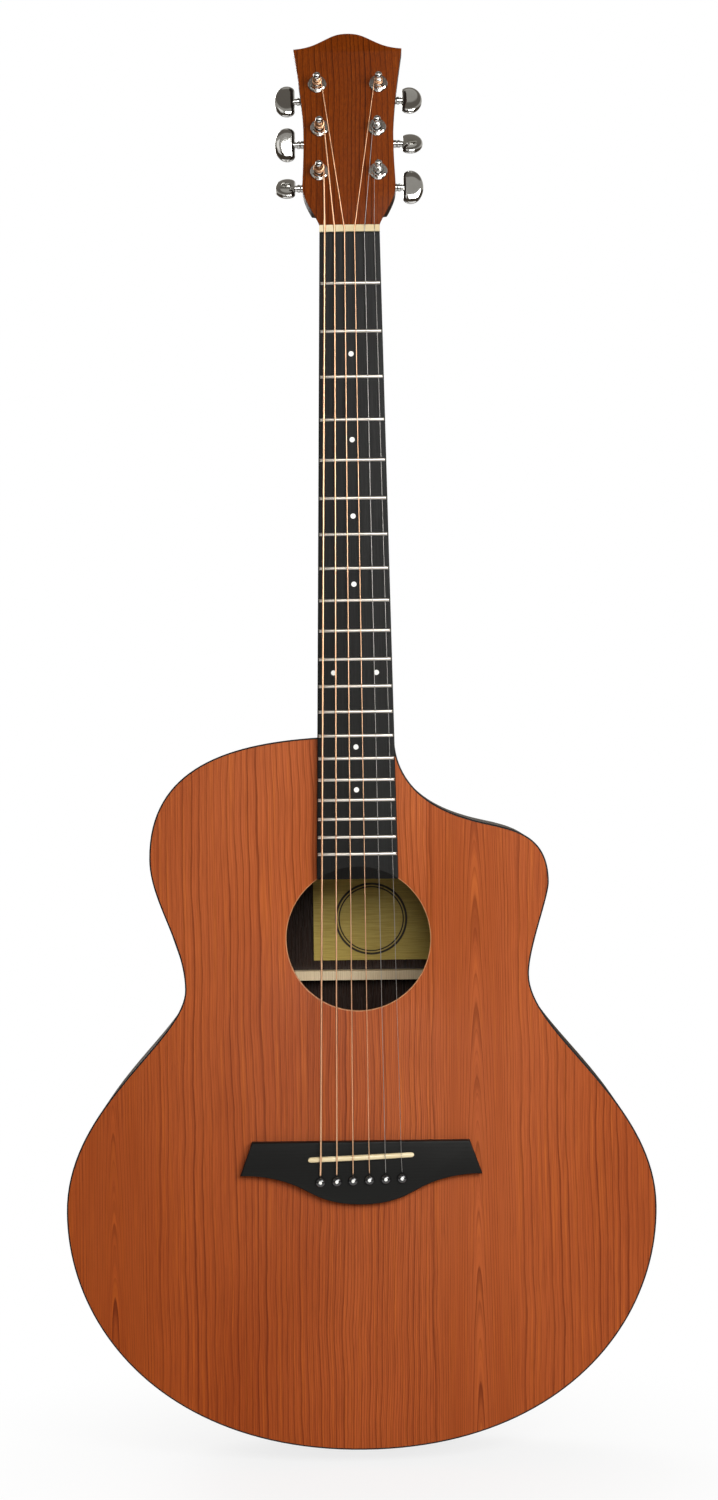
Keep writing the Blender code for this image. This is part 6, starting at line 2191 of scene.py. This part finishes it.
@dataclass
class Preamp:
    """The preamp in the bass side: its case, three knobs and the battery's door."""

    bench: Bench
    face: float = 0.0015
    knob_offset: float = 0.0125
    knob_spacing: float = 0.020
    knob_radius: float = 0.005
    knob_height: float = 0.0026
    shaft_radius: float = 0.002
    shaft_length: float = 0.004
    foot_gap: float = 0.0003
    grip_count: int = 24
    pointer_half_width: float = 0.00035
    pointer_start: float = 0.0008
    pointer_share: float = 0.8
    pointer_round: float = 0.0001
    light_place: Pair = (0.0205, 0.0265)
    names: tuple[str, ...] = ("volume", "bass", "treble")

    def build(self) -> None:
        """Makes the knobs and the light, and dresses the case and the door."""
        frame = preamp_frame()
        middle = (len(self.names) - 1) / 2
        for number, name in enumerate(self.names):
            place = self.knob_spacing * (number - middle)
            here = frame @ Matrix.Translation((self.knob_offset, place, self.face))
            self.make_knob(name, here)
        light = Shape()
        spot = frame @ Matrix.Translation((*self.light_place, self.face))
        light.turn([(0, 0.0009), (0.0006, 0.0008), (0.0011, 0.0004), (0.0012, -0.0004)], spot, 24)
        light.close()
        self.bench.mount("battery_light", light, ("indicator",))
        self.bench.dress("black_plastic", "preamp_housing", "battery_door")

    def make_knob(self, name: str, frame: Matrix) -> None:
        """A ribbed knob with a white line on its top.

        Args:
            name: The knob's name.
            frame: Its place on the case's face.
        """
        steps = self.grip_count * 4
        height = self.knob_height

        def ring(radius: float, level: float, depth: float) -> list[Vector]:
            """The knob's outline at one level, with its ribs.

            Args:
                radius: Its radius.
                level: Its level.
                depth: How deep the ribs are.

            Returns:
                The outline's points.
            """
            points = []
            for step in range(steps):
                angle = math.tau * step / steps
                reach = radius - depth * (0.5 - 0.5 * math.cos(angle * self.grip_count))
                points.append(frame @ about_axis(reach, angle, level))
            return points

        radius = self.knob_radius
        shape = Shape()
        shape.skin(
            [
                ring(self.shaft_radius, -self.shaft_length, 0),
                ring(self.shaft_radius, self.foot_gap, 0),
                ring(radius - 0.0002, self.foot_gap, 0),
                ring(radius, self.foot_gap + 0.0003, 0),
                ring(radius, 0.0007, 0),
                ring(radius * 0.98, 0.0009, 0.0003),
                ring(radius * 0.94, height - 0.0006, 0.0003),
                ring(radius * 0.92, height - 0.0003, 0.0001),
                ring(radius * 0.88, height - 0.0001, 0),
                ring(radius * 0.80, height, 0),
                ring(radius * 0.70, height - 0.0003, 0),
            ]
        )
        before = set(shape.bm.faces)
        half = self.pointer_half_width
        low = (-half, self.pointer_start, height - 0.0004)
        high = (half, radius * self.pointer_share, height - 0.0001)
        shape.block(low, high, frame, self.pointer_round, 1)
        shape.mark(before, 1)
        shape.close()
        finishes = ("knob_plastic", "white_inlay")
        node = f"preamp_knob_{name}"
        self.bench.mount(f"dial_{name}", shape, finishes, f"knob_{name}", [node], "black_plastic")


@dataclass
class OutputJack:
    """The end-pin jack in the tail."""

    plan: GuitarPlan
    bench: Bench
    depth_place: float = 0.052
    barrel_radius: float = 0.0059
    barrel_length: float = 0.034
    neck_radius: float = 0.0055
    flange_radius: float = 0.0075
    reach: float = 0.010
    bore_radius: float = 0.0033
    bore_length: float = 0.030

    def build(self) -> None:
        """Makes the jack as one turned piece with its bore."""
        gap = self.plan.cut_gap
        flange, neck, reach = self.flange_radius, self.neck_radius, self.reach
        profile = [
            (0, -self.barrel_length),
            (self.barrel_radius - 0.0004, -self.barrel_length),
            (self.barrel_radius, 0.0004 - self.barrel_length),
            (self.barrel_radius, gap),
            (flange - 0.0003, gap),
            (flange, gap + 0.0003),
            (flange, gap + 0.0010),
            (flange - 0.0004, gap + 0.0016),
            (neck + 0.0002, gap + 0.0021),
            (neck, gap + 0.0024),
            (neck, reach - 0.0036),
            (neck + 0.0003, reach - 0.0031),
            (flange - 0.0004, reach - 0.0023),
            (flange, reach - 0.0019),
            (flange, reach - 0.0008),
            (flange - 0.0003, reach - 0.0002),
            (flange - 0.0008, reach),
            (self.bore_radius + 0.0005, reach),
            (self.bore_radius, reach - 0.0005),
            (self.bore_radius, reach - self.bore_length),
            (0, reach - self.bore_length),
        ]
        place = Matrix.Translation(below(0, self.plan.tail, self.depth_place))
        frame = place @ Matrix.Rotation(math.pi, 4, "X")
        shape = Shape()
        shape.turn(profile, frame, 64)
        shape.close()
        self.bench.mount("jack_barrel", shape, ("chrome",), nodes=["output_jack"], slot="chrome", crease=30)


# Light and camera
@dataclass
class Studio:
    """Pale floor, soft lamps, surroundings and camera."""

    floor_level: float = -0.8853
    floor_radius: float = 0.9
    camera_place: Place = (0.0023, -2.150, -0.3589)
    camera_roll: float = math.radians(0.715)
    camera_tilt: float = math.radians(-0.317)
    camera_lens: float = 71.84
    film_width: float = 36.0
    aim: Place = (0, 0, -0.4)
    lamps: tuple[tuple[str, Place, float, float], ...] = (
        ("key_lamp", (1.0, -1.7, 0.2), 0.9, 33.0),
        ("fill_lamp", (-1.4, -2.2, 0.5), 1.4, 4.0),
        ("front_lamp", (0.2, -3.2, 0.5), 1.1, 34.0),
        ("back_lamp", (-1.2, 2.0, 0.7), 1.2, 36.0),
    )
    dim: Colour = (0.060, 0.048, 0.036, 1)
    bright: Colour = (0.36, 0.35, 0.33, 1)

    def build(self) -> None:
        """Sets up the floor, lamps, surroundings and camera."""
        self.make_floor()
        self.make_world()
        for name, place, size, power in self.lamps:
            self.add_lamp(name, place, size, power)
        data = bpy.data.cameras.new("camera")
        data.sensor_fit = "AUTO"
        data.sensor_width = self.film_width
        data.lens = self.camera_lens
        camera = bpy.data.objects.new("camera", data)
        turns = ((self.camera_roll, "Y"), (self.camera_tilt, "X"), (math.pi / 2, "X"))
        frame = Matrix.Translation(self.camera_place)
        for angle, axis in turns:
            frame = frame @ Matrix.Rotation(angle, 4, axis)
        camera.matrix_world = frame
        bpy.context.scene.collection.objects.link(camera)
        bpy.context.scene.camera = camera
        bpy.context.scene.view_settings.view_transform = "Standard"

    def make_floor(self) -> None:
        """A round plain floor under the guitar: its shadow is soft, and its edge fades into white."""
        shape = Shape()
        profile = [(0, 0), (self.floor_radius, 0), (self.floor_radius, -0.02), (0, -0.02)]
        shape.turn(profile, Matrix.Translation((0, 0, self.floor_level)), 96)
        shape.close()
        mesh = bpy.data.meshes.new("floor")
        shape.bm.to_mesh(mesh)
        shape.bm.free()
        material = bpy.data.materials.new("pale_floor")
        material.use_nodes = True
        sheet = NodeSheet(material.node_tree)
        shader = material.node_tree.nodes["Principled BSDF"]
        position = sheet.add("ShaderNodeTexCoord").outputs["Object"]
        tone = sheet.mix(sheet.noise(position, 3.0), (0.86, 0.86, 0.86, 1), (0.90, 0.90, 0.90, 1))
        sheet.feed(shader.inputs["Base Color"], tone)
        sheet.feed(shader.inputs["Roughness"], 0.8)
        out = material.node_tree.nodes["Material Output"]
        white = sheet.add("ShaderNodeEmission", {0: (1, 1, 1, 1), 1: 1.0})
        ends = {0: position, 1: (0, 0, self.floor_level)}
        away = sheet.add("ShaderNodeVectorMath", ends, operation="DISTANCE")
        fade = sheet.span(away.outputs["Value"], 0.05, self.floor_radius * 0.45, 0.80, 1.0)
        rays = sheet.add("ShaderNodeLightPath")
        seen = sheet.math("MAXIMUM", rays.outputs["Is Camera Ray"], rays.outputs["Is Glossy Ray"])
        share = sheet.product(fade, seen)
        both = sheet.add("ShaderNodeMixShader", {0: share, 1: shader.outputs[0], 2: white.outputs[0]})
        sheet.feed(out.inputs[0], both.outputs[0])
        mesh.materials.append(material)
        floor = bpy.data.objects.new("floor", mesh)
        bpy.context.scene.collection.objects.link(floor)

    def make_world(self) -> None:
        """White where the camera looks, a soft grey studio for the light on the guitar."""
        world = bpy.data.worlds.new("studio")
        world.use_nodes = True
        bpy.context.scene.world = world
        sheet = NodeSheet(world.node_tree)
        world.node_tree.nodes.clear()
        _, depth, height = sheet.split(sheet.add("ShaderNodeTexCoord").outputs["Generated"])
        low_band = sheet.span(height, 0.12, 0.16)
        dim_band = sheet.span(height, 0.58, 0.62, 1.0, 0.25)
        top_band = sheet.span(height, 0.955, 0.970, 0.0, 0.75)
        band = sheet.total(sheet.product(low_band, dim_band), top_band)
        tone = sheet.mix(band, self.dim, self.bright)
        shade = sheet.span(depth, -0.2, 0.7, 1.0, 1.5)
        around = sheet.add("ShaderNodeBackground", {0: tone, 1: shade})
        plain = sheet.add("ShaderNodeBackground", {0: (1, 1, 1, 1), 1: 1.0})
        seen = sheet.add("ShaderNodeLightPath").outputs["Is Camera Ray"]
        both = sheet.add("ShaderNodeMixShader", {0: seen, 1: around.outputs[0], 2: plain.outputs[0]})
        sheet.add("ShaderNodeOutputWorld", {0: both.outputs[0]})

    def add_lamp(self, name: str, place: Place, size: float, power: float) -> None:
        """A square soft lamp looking at the guitar.

        Args:
            name: The lamp's name.
            place: Where it hangs.
            size: Its width.
            power: Its power in watts.
        """
        data = bpy.data.lights.new(name, "AREA")
        data.size = size
        data.energy = power
        lamp = bpy.data.objects.new(name, data)
        lamp.location = place
        way = Vector(self.aim) - Vector(place)
        lamp.rotation_euler = way.to_track_quat("-Z", "Y").to_euler()
        bpy.context.scene.collection.objects.link(lamp)


def main() -> None:
    """Builds the guitar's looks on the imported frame."""
    logging.basicConfig(level=logging.INFO, format="%(message)s")
    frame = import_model()
    plan = GuitarPlan()
    bench = Bench(FinishRack(), frame["nodes"])
    sections = [
        BodyShell(plan, bench),
        Neck(plan, bench),
        Fingerboard(plan, bench),
        Bridge(plan, bench),
        StringSet(plan, bench),
        *(Tuner(plan, bench, index, turn) for index, turn in enumerate(BUTTON_TURNS)),
        Preamp(bench),
        OutputJack(plan, bench),
        Studio(),
    ]
    for section in sections:
        section.build()
    LOG.info("%d pieces made", bench.count)


if __name__ == "__main__":
    main()
